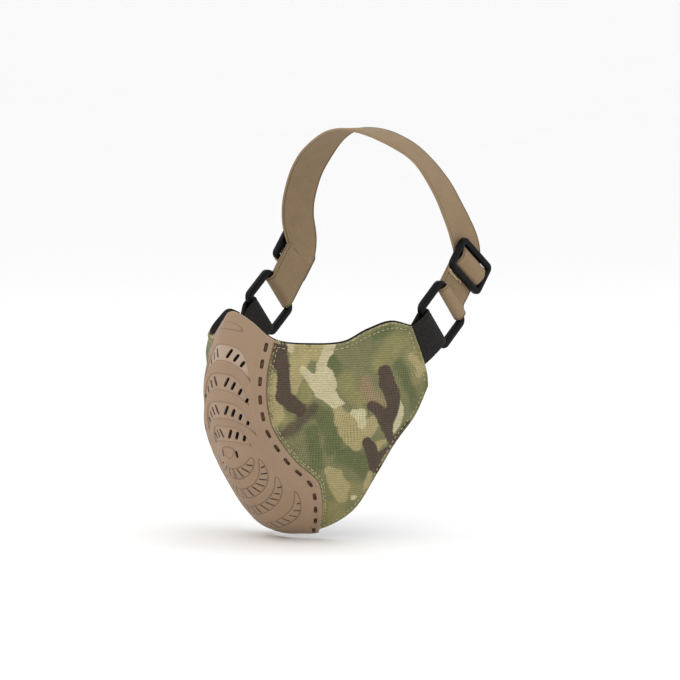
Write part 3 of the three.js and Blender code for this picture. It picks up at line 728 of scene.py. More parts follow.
def woven(name, dyed, roughness, rib, row, slant, amount,
          depth=0.3, contrast=0.3, edge=0.0, **plain):
    """Woven or knitted cloth; a painted shadow line runs edge mm from its middle, on both sides."""
    material, net, shader, place = finish(name, roughness, **plain)
    across, along = cloth_sides(net)
    weave = net.use(
        once(weave_group), across=across, along=along, rib=rib, row=row, slant=slant,
        contrast=contrast, place=place,
    )
    mottle = net.use(once(mottle_group), place=place, broad=90.0, fine=1900.0, amount=amount)
    shade = toned(net, weave.outputs["Shade"], toned(net, mottle.outputs["Tone"], colour(dyed)))
    if edge:
        # painted shadow line, edge mm from the middle
        far = net.math("ABSOLUTE", net.math("SUBTRACT", net.math("ABSOLUTE", across), edge * MM))
        line = net.ease(far, 0.0002, 0.0006, 0.55, 0.0)
        shade = net.mix(line, shade, BAND_EDGE_PAINTED_SHADOW)
    net.feed(shader.inputs["Base Color"], shade)
    bump(net, shader, weave.outputs["Height"], 0.6, depth)
    return material


def black_plastic():
    material, net, shader, place = finish("satin_plastic", 0.28, specular_ior_level=0.11)
    mottle = net.use(once(mottle_group), place=place, broad=150.0, fine=2500.0, amount=0.2)
    # raised edges slightly lighter where they rub, and painted shade in the hollows
    worn_and_shaded = net.use(once(wear_and_hollow_shade_group), color=colour("plastic"), place=place, light=0.04, dark=0.4)
    net.feed(shader.inputs["Base Color"], toned(net, mottle.outputs["Tone"], worn_and_shaded.outputs[0]))
    net.feed(shader.inputs["Roughness"], net.ease(mottle.outputs["Grain"], 0.3, 0.7, 0.28, 0.42))
    bump(net, shader, mottle.outputs["Grain"], 0.12, 0.08)
    return material


def sewing_thread(dyed="thread"):
    material, net, shader, place = finish(
        f"sewing_{dyed}", 0.7, sheen_weight=0.2, sheen_roughness=0.4
    )
    mottle = net.use(once(mottle_group), place=place, broad=700.0, fine=4000.0, amount=0.5)
    net.feed(shader.inputs["Base Color"], toned(net, mottle.outputs["Tone"], colour(dyed)))
    bump(net, shader, mottle.outputs["Grain"], 0.4, 0.15)
    return material


def black_foam():
    material, net, shader, place = finish("open_cell_foam", 0.95)
    cells = net.add("ShaderNodeTexVoronoi", {"Vector": place, "Scale": 1400.0}).outputs[0]
    shade = net.ease(cells, 0.0, 0.6, 0.5, 1.3)
    net.feed(shader.inputs["Base Color"], toned(net, shade, colour("black_cloth")))
    bump(net, shader, cells, 0.6, 0.3)
    return material


def pale_floor():
    material, net, shader, place = finish("pale_floor", 0.85, specular_ior_level=0.2)
    mottle = net.use(once(mottle_group), place=place, broad=2.0, fine=60.0, amount=0.02)
    net.feed(shader.inputs["Base Color"], toned(net, mottle.outputs["Tone"], (0.95, 0.95, 0.95, 1)))
    return material


def lining_cloth():
    return once(woven, "lining_knit", "black_cloth", 0.92, 1.2, 1.1, 0.4, 0.3,
                contrast=1.3, sheen_weight=0.04, specular_ior_level=0.12)


def black_webbing():
    return once(woven, "black_webbing", "webbing", 0.7, 1.5, 1.15, 0.55, 0.3,
                depth=0.7, contrast=2.2, sheen_weight=0.02, specular_ior_level=0.15)


def elastic():
    # the band has a painted shadow line 1.1 mm inside each edge
    return once(woven, "elastic_band", "strap", 0.86, 1.1, 0.62, 0.0, 0.2,
                edge=sizes().strap_width / 2 - 1.1, sheen_weight=0.05, specular_ior_level=0.2)


# ---- front plate ----
ARCHES = (   # slots: rise above the mouth, number, first, pitch; sunk arch: top, bottom, tip out and below
    (59, 3, 4, 4.2, -63.2, -54.2, 19, -48),
    (42.5, 4, 4, 4.2, -46.8, -37.3, 18.2, -33),
    (26, 4, 3.3, 4.0, -30.6, -20.8, 20, -14),
    (11.5, 3, 2.9, 3.9, -16.2, -6.8, 14.5, -3.5),
)
CRESCENTS = (   # centre below the mouth, radius, widening, first angle, step, slots, tip
    (4.5, 9.2, 0.3, 21, 22, 3, 92),
    (13.5, 14.1, 0.18, 18, 16, 6, 117),
    (25.5, 15.4, 0.38, 12, 15, 6, 108),
    (40, 16.5, 0.6, 15, 15, 6, 109),
)
ARCH_BOW = 0.025             # how the rows of slots fall away from the middle
ARCH_LEAN = -0.5             # turn of their slots, in radians
ARCH_SLOT, ARCH_SLOT_WIDTH = 6.2, 1.9
CRESCENT_SLOT_WIDTH = 0.85
MOUTH_SLOT = (4.5, 1.2, 0.0, 4.5, 1.7)     # out, below, turn, length, width
SEAM_SLOTS, SEAM_SLOT, SEAM_SLOT_WIDTH = 14, 5.5, 2.2
SEAM_SLOT_INSET = 4.0
OUTSIDE = -9.0               # stands for far outside an outline
CRESCENT_HALF = 3.5          # half the width of a crescent at its widest
ARCH_LIP = 0.16              # raised lip round each sunk arch
CRESCENT_LINE, CRESCENT_SINK = 0.3, 0.16
TONGUE_RISE = MOUTH_SINK = 0.25
SEAM_SINK = 0.4              # the plate's border, where it is sewn
PLATE_ROUNDING = 1.1
PLATE_LENGTH = FORM.ribs[0].length


def mouth_down(below):
    return MOUTH_DOWN + np.asarray(below, float) / PLATE_LENGTH


def arch_depth(out, below):
    """How far inside a sunk arch each place is, in millimetres."""
    inside = np.full(out.shape, OUTSIDE)
    for *_, top, bottom, tip, drop in ARCHES:
        share = np.minimum(np.abs(out) / tip, 1.2)
        upper = top + (drop - top) * share**4.5
        lower = bottom + (drop - bottom) * share**2
        inside = np.maximum(inside, np.minimum(below - upper, lower - below))
    return inside


def half_band(angle, tip):
    """Half the width of a crescent at an angle from straight below its centre."""
    return CRESCENT_HALF * np.sqrt(np.clip(1 - (angle / tip) ** 2.2, 0, 1))


def crescent_depth(out, below):
    """How far inside a drawn crescent each place is, in millimetres."""
    inside = np.full(out.shape, OUTSIDE)
    for centre, radius, widening, _, _, _, tip in CRESCENTS:
        angle = np.degrees(np.arctan2(np.abs(out), below - centre))
        middle = radius * (1 + widening * (angle / 90) ** 2)
        far = np.abs(np.hypot(out, below - centre) - middle)
        beyond = (angle - tip) * radius * math.pi / 180
        start = (angle - 3) * radius * math.pi / 180
        band_depth = np.where(angle < tip, half_band(angle, tip) - far, -np.hypot(far, beyond))
        inside = np.maximum(inside, np.minimum(band_depth, start))
    return inside


def oval(out, below, centre, wide, tall, taper=0.0):
    """Distance inside an oval on the plate, about right near its edge."""
    down = (below - centre) / tall
    return (1 - np.hypot(out / (wide * (1 - taper * np.clip(down, -1, 1))), down)) * min(wide, tall)


def groove(inside, width):
    return np.exp(-((inside / width) ** 2))


def plate_relief(out, below, from_edge):
    """Height of the plate's face at each place, and what its material draws from."""
    marks = {
        "arch": arch_depth(out, below),
        "crescent": crescent_depth(out, below),
        "mouth": oval(out, below, 0.2, 3.4, 3.6, 0.45),
        "tongue": oval(out, below, -74.2, 8.2, 2.2),
    }
    arch, crescent = marks["arch"], marks["crescent"]
    floor = smooth(-0.35, 0.75, arch)
    height = -sizes().relief_depth * floor + ARCH_LIP * groove(arch + 0.75, 0.5)
    height -= CRESCENT_LINE * groove(crescent, 0.5) + CRESCENT_SINK * smooth(0, 0.6, crescent)
    height += TONGUE_RISE * smooth(0, 1.2, marks["tongue"])
    height -= MOUTH_SINK * smooth(0.2, 1.0, marks["mouth"])
    height -= SEAM_SINK * smooth(9.2, 7.4, from_edge)
    depth = np.clip(PLATE_ROUNDING - from_edge, 0, PLATE_ROUNDING)
    height -= PLATE_ROUNDING - np.sqrt(PLATE_ROUNDING**2 - depth**2)
    # how much painted light lightens each sunk floor, full in the top row; the roughness follows it too
    marks["floor"] = floor * np.where(below < -50, 1, 0.4)
    return height, marks


def plate_places(rows, columns):
    """Places spread evenly over the plate, with millimetres out from its middle line."""
    down = np.linspace(0, 1, rows)[:, None]
    coarse = np.linspace(-PLATE_RIB, PLATE_RIB, 61)
    run = lengths_along(FORM.points(coarse[None], down))
    half = run[:, -1:] / 2
    out = np.linspace(-1, 1, columns)[None] * half
    across = np.stack([np.interp(o, r - r[-1] / 2, coarse) for o, r in zip(out, run)])
    return across, np.broadcast_to(down, across.shape), out, half


def on_plate(out, below):
    """Frames at places given in millimetres out from the centre line and below the mouth."""
    out, below = np.asarray(out, float), np.asarray(below, float)
    down = mouth_down(below)
    across = FORM.walk(np.zeros_like(out), down, out)
    return FORM.frames(across, down)


def arch_slots():
    """Out, below, turn, length and width of each slot above the mouth, on one side."""
    for rise, slots, first, pitch, *_ in ARCHES:
        for slot in range(slots):
            out = first + pitch * slot
            length = ARCH_SLOT * (1 - 0.17 * slot)
            yield out, ARCH_BOW * out**2 - rise, ARCH_LEAN, length, ARCH_SLOT_WIDTH


def crescent_slots():
    """The same of each spoke in the crescents."""
    for centre, radius, widening, start, step, slots, tip in CRESCENTS:
        for slot in range(slots):
            angle = start + step * slot
            turn = math.radians(angle)
            reach = radius * (1 + widening * (angle / 90) ** 2)
            length = 1.75 * float(half_band(np.array(angle), tip)) * (1 - 0.4 * (slot / slots) ** 2)
            out, below = reach * math.sin(turn), centre + reach * math.cos(turn)
            yield out, below, turn, length, CRESCENT_SLOT_WIDTH


def slot_cutters():
    """Every slot of the plate, as one tool."""
    out, below, turn, length, width = np.array([*arch_slots(), *crescent_slots(), MOUTH_SLOT]).T
    out, turn = np.concatenate([out, -out]), np.concatenate([turn, -turn])
    below, length, width = (np.concatenate([some, some]) for some in (below, length, width))
    point, _, per_down, normal = on_plate(out, below)
    down = np.linspace(0.05, 0.97, SEAM_SLOTS)
    for side in (-1.0, 1.0):
        inset = np.full(SEAM_SLOTS, -side * SEAM_SLOT_INSET)
        edge = FORM.walk(np.full(SEAM_SLOTS, side * PLATE_RIB), down, inset)
        place, _, drop, away = FORM.frames(edge, down)
        point, per_down, normal = (
            np.concatenate(pair) for pair in ((point, place), (per_down, drop), (normal, away))
        )
        turn, length, width = (
            np.concatenate([some, np.full(SEAM_SLOTS, value)])
            for some, value in ((turn, 0.0), (length, SEAM_SLOT), (width, SEAM_SLOT_WIDTH))
        )
    along = unit(per_down - np.sum(per_down * normal, 1, keepdims=True) * normal)
    side = np.cross(normal, along)
    along = along * np.cos(turn)[:, None] + side * np.sin(turn)[:, None]
    share = np.stack([length / 10, width / 10, np.ones_like(width)], 1)
    return placed_pieces("slot_cutters", rounded_block, point, along, normal, (10, 10, 11), share)


def front_plate():
    across, down, out, half = plate_places(268, 132)
    point, _, _, normal = FORM.frames(across, down)
    below = (down - MOUTH_DOWN) * PLATE_LENGTH
    ends = np.minimum(down, 1 - down) * PLATE_LENGTH
    from_edge = np.minimum(half - np.abs(out), ends)
    height, marks = plate_relief(out, below, from_edge)
    gap = sizes().plate_gap
    outer = point + normal * (gap + sizes().plate_thickness + height)[..., None]
    inner = point + normal * gap
    plate = shell("front_plate_shell", outer, inner, np.stack([out, below], -1), once(rubber))
    for mark, values in marks.items():
        back = np.full(values.size, 0.0 if mark == "floor" else OUTSIDE)
        store(plate, mark, np.concatenate([values.ravel(), back]))
    cut(plate, slot_cutters())
    keep_sharp(plate, 40)
    return ready(plate, "root", "front_plate")


def vent_mesh():
    """Knitted mesh behind the vents, short of the plate's seams."""
    rows, columns, short, thickness, per_rib = 90, 60, 10.0, 0.6, 12
    down = np.linspace(0.02, 0.98, rows)
    edge = FORM.walk(np.full(rows, float(PLATE_RIB)), down, np.full(rows, -short))
    across = edge[:, None] * np.linspace(-1, 1, columns)[None]
    down = np.broadcast_to(down[:, None], across.shape)
    point, _, _, normal = FORM.frames(across, down)
    uv = np.stack([across * per_rib, down * PLATE_LENGTH], -1)
    mesh = shell("vent_mesh_knit", point, point - normal * thickness, uv, lining_cloth())
    return ready(mesh, "root", "vent_mesh")


# ---- cheeks ----
# Patches of the print: strokes through places on the left cheek, each with its half width there.
PATCHES = {
    "deep": (
        ((3.2, 0.36, 3.5), (3.35, 0.43, 5.5), (3.4, 0.52, 6), (3.2, 0.6, 5)),
        ((2.9, 0.45, 4), (2.7, 0.55, 4), (2.4, 0.63, 4)),
        ((3.65, 0.08, 3), (3.8, 0.14, 4.5), (3.9, 0.2, 3)),
        ((5.9, 0.42, 3.6), (5.98, 0.55, 4), (6, 0.68, 3.5), (6.1, 0.8, 3.5), (6, 0.9, 3.2)),
        ((5.2, 0.07, 3), (5.8, 0.06, 3.5)),
        ((3.3, 0.68, 5), (3.7, 0.79, 6), (3.6, 0.88, 3)),
    ),
    "khaki": (
        ((3, 0.21, 4.5), (3.05, 0.28, 4.5)),
        ((4.15, 0.27, 5), (4.2, 0.36, 5), (4.4, 0.46, 4.5)),
        ((5.3, 0.3, 5), (5.9, 0.21, 6), (6.4, 0.22, 5)),
        ((2.15, 0.86, 6), (2.5, 0.92, 7), (2.4, 0.98, 6)),
        ((3.15, 0.88, 4), (3.3, 0.96, 5)),
        ((6.5, 0.36, 5), (6.7, 0.55, 6.5), (6.5, 0.68, 5)),
        ((2.5, 0.37, 3), (2.35, 0.34, 4)),
    ),
    "tan": (
        ((2.55, -0.03, 5), (2.8, 0.05, 6.5), (2.75, 0.12, 5), (2.75, 0.18, 4), (2.75, 0.225, 2.6)),
        ((3.25, -0.03, 4), (3.2, 0.05, 4.5)),
        ((2.2, 0.15, 3.2), (2.2, 0.205, 3.4), (2.2, 0.265, 4.4), (2.28, 0.32, 4.2), (2.15, 0.355, 3)),
        ((3.75, 0.43, 3.2), (3.75, 0.5, 5.6), (3.85, 0.61, 6.4), (4.25, 0.66, 5.4), (4.6, 0.67, 3.8)),
        ((3.85, 0.66, 5), (3.8, 0.7, 2.6)),
        ((6.5, 0.42, 2.6), (6.75, 0.62, 3.8), (6.55, 0.66, 2.6)),
        ((4.3, 0.85, 2), (4.45, 0.84, 2.6), (4.65, 0.87, 1.9)),
        ((2.58, 0.68, 2.4), (2.7, 0.74, 5), (2.75, 0.81, 5.2), (2.75, 0.87, 3.4)),
        ((3.78, 0.93, 2), (3.55, 0.97, 2.6)),
    ),
    "pale": (
        ((2.9, 0.125, 1.6), (3.05, 0.16, 2.6), (3.3, 0.22, 3.5), (3.5, 0.28, 5.8), (3.75, 0.365, 3.7),
         (3.92, 0.4, 1.8)),
        ((3.58, -0.03, 2.4), (3.45, 0.08, 2.7), (3.4, 0.12, 2.6), (3.55, 0.18, 4.6), (3.64, 0.25, 5.2)),
        ((2.42, 0, 1.2), (2.5, 0.03, 1.7)),
        ((4.12, 0.5, 1.8), (4.27, 0.55, 3.8), (4.17, 0.62, 2)),
        ((5.6, 0.73, 1.2), (5.43, 0.83, 2.6), (5.25, 0.88, 2.8), (5.1, 0.9, 1.6)),
        ((3.12, 0.94, 2),),
    ),
    "rose": (
        ((4.72, 0.37, 3.4), (4.8, 0.47, 4), (4.95, 0.55, 4), (5.15, 0.62, 3)),
    ),
    "smoke": (
        ((3.2, 0.335, 2.4), (2.95, 0.365, 3.4), (2.6, 0.39, 3.6), (2.3, 0.405, 3.2), (2.08, 0.42, 2.8)),
        ((2, 0.3, 1), (2.02, 0.1, 1.6)),
    ),
    "brown": (
        ((2.12, -0.03, 4.8), (2.2, 0.06, 5.4), (2.38, 0.12, 4.6), (2.47, 0.18, 3.9), (2.45, 0.24, 4.5),
         (2.64, 0.29, 4.7), (2.78, 0.325, 4)),
        ((5.4, 0.39, 4.2), (5.37, 0.48, 5.2), (5.43, 0.6, 5.2), (5.36, 0.7, 4.9), (5.1, 0.75, 4.8)),
        ((4.74, 0.57, 2.9), (4.9, 0.66, 4.4), (4.95, 0.76, 4.4), (4.88, 0.86, 3.2), (4.93, 0.96, 2.4)),
        ((4.97, 0.96, 2), (5.3, 0.96, 1.9), (5.65, 0.97, 1.5)),
        ((4.12, 0.73, 2.2), (4.13, 0.81, 3.9), (4.1, 0.88, 4.4), (4.08, 0.97, 3.8)),
        ((4.15, 0.92, 3), (4.4, 0.92, 2.5), (4.68, 0.96, 1.7)),
    ),
}


def stroke_distance(points, stroke, turned=0.0):
    """Distance in millimetres from each point to the edge of a stroke on the form.

    With turned, the layout is upside down and starts that many ribs further on."""
    across, down, half = np.array(stroke + stroke[-1:], float).T
    if turned:
        across, down = PLATE_RIB + (turned - (across - PLATE_RIB)) % CHEEK_RIBS, 1 - down
    line = FORM.points(np.clip(across, 1.2, REAR_RIB), down)
    best = np.full(points.shape[:-1], 1e3)
    for start, end, wide, next_wide in zip(line[:-1], line[1:], half[:-1], half[1:]):
        run = end - start
        share = np.clip((points - start) @ run / max(run @ run, 1e-9), 0, 1)
        far = np.linalg.norm(points - start - share[..., None] * run, axis=-1)
        best = np.minimum(best, far - wide - share * (next_wide - wide))
    return best


HEM_STITCHES, SEAM_STITCHES = 3.4, 2.6     # from the bound edges and from the plate, in mm
HEM_VALLEY, SEAM_VALLEY, VALLEY_WIDTH = 0.55, 0.5, 0.9
HEM_ROUNDING = 0.7
COVER_LIFT = 0.35            # how far the cover stands off the form before it puffs
RIPPLE, PULL = 0.22, 0.35    # unevenness of the cloth, and its creases towards the webbing
SEAM_TUCK = 9.0              # cloth hidden under the plate
TURNED_PRINT = 5.6           # ribs by which the print is moved on the right cheek


class Cheek:
    """The left cheek's places, with how far each is from the cloth's edges."""

    def __init__(self, rows=136, columns=150, tucked=SEAM_TUCK):
        down = np.linspace(0, 1, rows)
        flange = FORM.walk(np.full(rows, float(PLATE_RIB)), down, np.full(rows, -tucked))
        self.across = flange[:, None] + (REAR_RIB - flange)[:, None] * np.linspace(0, 1, columns)[None]
        self.down = np.broadcast_to(down[:, None], self.across.shape)
        self.point, _, self.per_down, self.normal = FORM.frames(self.across, self.down)
        run = lengths_along(self.point)
        seam = np.array([np.interp(PLATE_RIB, a, r) for a, r in zip(self.across, run)])
        self.from_seam = run - seam[:, None]
        self.from_rear = run[:, -1:] - run
        fall = lengths_along(self.point.transpose(1, 0, 2)).T
        self.from_top, self.from_bottom = fall, fall[-1:] - fall
        self.from_bound = np.minimum(np.minimum(self.from_top, self.from_bottom), self.from_rear)
        self.from_edge = np.minimum(self.from_bound, np.abs(self.from_seam))
        self.uv = np.stack([run, -self.point[..., 2]], -1)

    def lift(self):
        """How far the padded cover stands off the form."""
        inset, seam = self.from_bound, self.from_seam
        valley = (
            HEM_VALLEY * groove(inset - HEM_STITCHES, VALLEY_WIDTH)
            + SEAM_VALLEY * groove(seam - SEAM_STITCHES, VALLEY_WIDTH)
        )
        puff = sizes().puff * smooth(2.5, 13, np.minimum(inset, np.maximum(seam, 0) + 1.5))
        rounded = HEM_ROUNDING * (1 - smooth(0, 1.4, inset))
        _, y, z = self.point.transpose(2, 0, 1)
        wave = np.sin(z * 0.21 + 3 * np.sin(y * 0.07))
        ripple = RIPPLE * wave * smooth(4, 10, self.from_edge)
        near_webbing = smooth(22, 4, self.from_rear) * smooth(2, 7, inset)
        pull = PULL * np.sin((z + y * 0.55) * 0.52) * near_webbing
        return np.where(seam < 0, 0, puff + ripple + pull + COVER_LIFT - valley - rounded)


def cheek_cover(cheek, side):
    lift = cheek.lift()
    outer = cheek.point + cheek.normal * lift[..., None]
    inner = outer - cheek.normal * sizes().cover_thickness
    cover = shell(f"{side}_cheek_cloth", outer, inner, cheek.uv, once(camouflage), side)
    turned = 0.0 if side == "left" else TURNED_PRINT
    distances = {
        patches: np.min([stroke_distance(cheek.point, stroke, turned) for stroke in strokes], 0)
        for patches, strokes in PATCHES.items()
    }
    distances |= {"from_seam": cheek.from_seam, "from_bound": cheek.from_bound}
    for name, distance in distances.items():
        store(cover, name, np.concatenate([distance.ravel()] * 2))
    keep_sharp(cover, 60)
    return ready(cover, "root", f"{side}_cheek_cover")


def lining_drop(cheek):
    """How far the lining lies inside the form: close at the bound edges, behind the foam inside."""
    inset = np.minimum(cheek.from_bound, cheek.from_seam + SEAM_TUCK)
    return 0.95 + 4.4 * smooth(0.5, 8, inset)


def cheek_lining(cheek, side):
    drop = lining_drop(cheek)
    over_top = 1 - smooth(0, 1.5, cheek.from_top)
    short_below = 0.7 * (1 - smooth(0, 1.5, cheek.from_bottom))
    beyond = over_top - short_below
    point = cheek.point - unit(cheek.per_down) * beyond[..., None]
    outer = point - cheek.normal * drop[..., None]
    inner = outer - cheek.normal * sizes().lining_thickness
    lining = shell(f"{side}_cheek_lining_cloth", outer, inner, cheek.uv, lining_cloth(), side)
    return ready(lining, "root", f"{side}_cheek_lining")


def cheek_padding(side):
    """Foam between the cover and the lining, short of every bound edge."""
    cheek = Cheek(60, 64, 6.5)
    keep = (slice(2, -2), slice(0, -8))
    inset = cheek.from_bound
    crown = smooth(1, 10, inset)
    outer = cheek.point - cheek.normal * (1.15 - 0.35 * crown)[..., None]
    inner = cheek.point - cheek.normal * (1.45 + 3.5 * smooth(1.5, 9, inset))[..., None]
    padding = shell(
        f"{side}_cheek_padding", outer[keep], inner[keep], cheek.uv[keep], once(black_foam), side
    )
    return ready(padding, "root", f"{side}_cheek_foam")


def read_at(at, run, values):
    """Rows of three values, read off between the places along a run."""
    return np.stack([np.interp(at, run, values[:, k]) for k in range(3)], -1)


def stitch_line(across, down, lift):
    """Evenly spaced stitches along a line of places on the form."""
    point, _, _, normal = FORM.frames(across, down)
    point = point + normal * np.asarray(lift)[..., None]
    run = lengths_along(point)
    at = np.arange(1.5, run[-1] - 1.5, sizes().stitch_pitch)
    sewn = read_at(at, run, point)
    return sewn, unit(np.gradient(sewn, axis=0)), unit(read_at(at, run, normal))


def cheek_stitches(cheek, side):
    """Rows of stitches inside the bound edges and along the plate."""
    rows, columns = cheek.across.shape
    grids = (cheek.across, cheek.down, cheek.lift())
    half = rows // 2
    found = []

    def sew(wanted, distances, lines):
        """Stitches where the distance along each grid line is the wanted one."""
        places = []
        for line in lines:
            order = np.argsort(distances[line])
            places.append([np.interp(wanted, distances[line][order], some[line][order]) for some in grids])
        across, down, lift = np.array(places).T
        found.append(stitch_line(across, down, lift + 0.12))

    def clear_of_corners(row):
        return min(cheek.from_top[row, -8], cheek.from_bottom[row, -8]) > HEM_STITCHES

    shown = [
        column for column in range(columns)
        if cheek.from_seam[2, column] > 1.5 and cheek.from_rear[2, column] > HEM_STITCHES
    ]
    sew(HEM_STITCHES, cheek.from_top, [(slice(0, half), column) for column in shown])
    sew(HEM_STITCHES, cheek.from_bottom, [(slice(half, rows), column) for column in shown])
    sew(HEM_STITCHES, cheek.from_rear, [row for row in range(rows) if clear_of_corners(row)])
    sew(SEAM_STITCHES, cheek.from_seam, range(4, rows - 4))
    point, along, normal = (np.concatenate([some[k] for some in found]) for k in range(3))
    point, along, normal = (on_side(side, some) for some in (point, along, normal))
    full = (sizes().stitch_length, sizes().thread, sizes().thread * 0.8)
    sewn = placed_pieces(
        f"{side}_cheek_stitches", bead, point, along, normal, full, material=once(sewing_thread)
    )
    return ready(sewn, "root")


# ---- webbing, ring, slider and band on the left ----
def leaning(degrees):
    """Directions along and across a strap that leans back from the vertical."""
    angle = math.radians(degrees)
    up = np.array((0, math.sin(angle), math.cos(angle)))
    return up, np.cross(up, OUT)


RING_UP, RING_ACROSS = leaning(50)
STRAP_UP, STRAP_ACROSS = leaning(38)
REAR_LENGTH = FORM.ribs[REAR_RIB].length
TAB_TOP = 0.03
TAB_DOWN = TAB_TOP + WEBBING_WIDTH / REAR_LENGTH / 2
TAB_MIDDLE = FORM.points(REAR_RIB, TAB_DOWN)
RING_CENTRE = TAB_MIDDLE + 27.5 * RING_UP - 1.5 * OUT
RING_REACH = 11.5            # from the ring's middle to the middle of its long bars
LOWER_BAR = RING_CENTRE - RING_REACH * RING_UP
UPPER_BAR = RING_CENTRE + RING_REACH * RING_UP
SLIDER_CENTRE = UPPER_BAR + 25.5 * STRAP_UP + 1.1 * OUT
RING_WIDTH, RING_HEIGHT, RING_THICKNESS, RING_CORNER = 35, 27, 3.6, 5.4
SLIDER_WIDTH, SLIDER_HEIGHT, SLIDER_THICKNESS, SLIDER_CORNER = 32, 21, 3.0, 3.9
RING_FULLER, SLIDER_FULLER = 0.4, 0.8      # how much larger the moulded edges are
CROSSBAR_WIDTH, WINDOW_HEIGHT = 3.4, 5.4   # the slider's middle bar and the window on each side
BAR_ROOM = 0.6               # between a ring's bar and what wraps round it
SLIDE_ROOM = 0.45            # between the slider and the band in it
BEHIND_COVER = 1.35          # from the form to the webbing sewn inside the cheek
TAB_INSET = 11               # length of webbing sewn inside the cheek
LAYER_GAP = 0.3              # between layers of webbing, and between the slider and the loop
CROWN_WAY = (                # the band from above the left slider to the middle of the crown
    (68, 34.2, 53.5), (66.8, 29.5, 67), (63.8, 26.5, 77), (59.3, 24.5, 87), (53, 22.5, 97),
    (46, 21, 105), (37.5, 18.8, 112), (27, 15.5, 118), (14, 12, 122.8), (0, 10.5, 124.5),
)


def band(name, stations, width, thickness, material, side="left", edge=0.35):
    """A flat woven band through stations of a middle, a width and a normal.

    Its edges are thicker than its middle by the share that edge gives."""
    middle, widthwise, normal = (np.array(some, float) for some in zip(*stations))
    half, lift = width / 2, thickness / 2
    turn = np.linspace(0, math.pi, 7)
    over = np.linspace(-half + lift, half - lift, 22)
    section = np.concatenate([
        np.stack([over, np.full(22, lift)], 1),
        np.stack([half - lift + lift * np.sin(turn[1:-1]), lift * np.cos(turn[1:-1])], 1),
        np.stack([over[::-1], np.full(22, -lift)], 1),
        np.stack([-half + lift - lift * np.sin(turn[1:-1]), -lift * np.cos(turn[1:-1])], 1),
    ])
    section[:, 1] *= 1 + edge * smooth(half - 2.2, half - 0.6, np.abs(section[:, 0]))
    x, y = section.T
    rings = middle[:, None] + widthwise[:, None] * x[:, None] + normal[:, None] * y[:, None]
    points, faces = loft(rings)
    along = lengths_along(middle)
    uv = np.stack(np.broadcast_arrays(x[None], along[:, None]), -1).reshape(-1, 2)
    piece = new_piece(name, on_side(side, points), faces, uv, material)
    face_outward(piece)
    keep_sharp(piece, 50)
    return piece


def dense(stations, step=0.8):
    """The same way with a station at least every step, on a smooth curve."""
    middle, widthwise, normal = (np.array(some, float) for some in zip(*stations))
    fine = np.linspace(0, 1, 900)
    line = through(middle, fine)
    run = lengths_along(line)
    at = np.interp(np.arange(0, run[-1] + step / 2, step), run, fine)
    knots = at * (len(middle) - 1)
    index = np.arange(len(middle))
    widthwise, normal = (unit(read_at(knots, index, some)) for some in (widthwise, normal))
    return list(zip(through(middle, at), widthwise, normal))


def round_bar(bar, radius, towards):
    """Half a turn from inside to outside round a ring's bar, above it or below."""
    stations = []
    for angle in np.linspace(0, math.pi, 17):
        normal = towards * math.sin(angle) * RING_UP - math.cos(angle) * OUT
        stations.append((bar + radius * normal, RING_ACROSS, normal))
    return stations


def webbing_tab(side):
    """Webbing from inside the cheek, round the ring's lower bar and back in."""
    thick = sizes().webbing_thickness
    radius = RING_THICKNESS / 2 + BAR_ROOM + thick / 2
    outer = -BEHIND_COVER - thick / 2
    inner = outer - thick - LAYER_GAP
    down = np.full(5, TAB_DOWN)

    def layer(offset, face):
        across = FORM.walk(np.full(5, float(REAR_RIB)), down, np.linspace(-TAB_INSET, 0, 5))
        point, _, per_down, normal = FORM.frames(across, down)
        wide = unit(per_down - np.sum(per_down * normal, 1, keepdims=True) * normal)
        return list(zip(point + normal * offset, wide, normal * face))

    past = LOWER_BAR - 3 * RING_UP + radius * OUT
    stations = [
        *layer(inner, -1), *round_bar(LOWER_BAR, radius, 1), (past, RING_ACROSS, OUT),
        *layer(outer, 1)[::-1],
    ]
    tab = band(f"{side}_webbing", dense(stations), sizes().webbing_width, thick, black_webbing(),
               side, edge=0.15)
    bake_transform(tab)
    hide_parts(f"{side}_webbing_tab")
    return tab


def rounded_path(width, height, radius, steps=9, side_steps=10):
    """Points and outward directions round a rounded rectangle."""
    points, away = [], []
    for quarter in range(4):
        centre = np.array(((width / 2 - radius) * (1, -1, -1, 1)[quarter],
                           (height / 2 - radius) * (1, 1, -1, -1)[quarter]))
        for angle in np.radians(np.linspace(90 * quarter, 90 * quarter + 90, steps)):
            direction = np.array((math.cos(angle), math.sin(angle)))
            points.append(centre + radius * direction)
            away.append(direction)
        nearest = ((width if quarter % 2 == 0 else height) - 2 * radius) / side_steps
        run = np.array(((-1, 0), (0, -1), (1, 0), (0, 1))[quarter])
        last = points[-1]
        for step in range(1, side_steps):
            points.append(last + run * nearest * step)
            away.append(away[-1])
    return np.array(points), np.array(away)


def bar_section(width, thickness, corner=0.95, steps=5):
    """A softly cornered section, crowned a little on its faces."""
    points, _ = rounded_path(width, thickness, corner, steps, 4)
    points[:, 1] *= 1 + 0.05 * (1 - (2 * points[:, 0] / width) ** 2)
    return points


def frame_of_bars(width, height, corner, bar, thickness, up, across, centre):
    """Points and faces of a closed frame with a moulded section."""
    path, away = rounded_path(width - bar, height - bar, corner - bar / 2)
    section = bar_section(bar, thickness)

    def plane(pair):
        return pair[..., :1] * across + pair[..., 1:] * up

    middle = centre + plane(path)
    rings = (
        middle[:, None] + plane(away)[:, None] * section[None, :, :1] + OUT * section[None, :, 1:]
    )
    count, sides = rings.shape[:2]
    at = np.arange(count * sides).reshape(count, sides)
    after, following = np.roll(at, -1, 1), np.roll(at, -1, 0)
    faces = np.stack([at, after, np.roll(after, -1, 0), following], -1).reshape(-1, 4)
    return rings.reshape(-1, 3), faces.tolist()


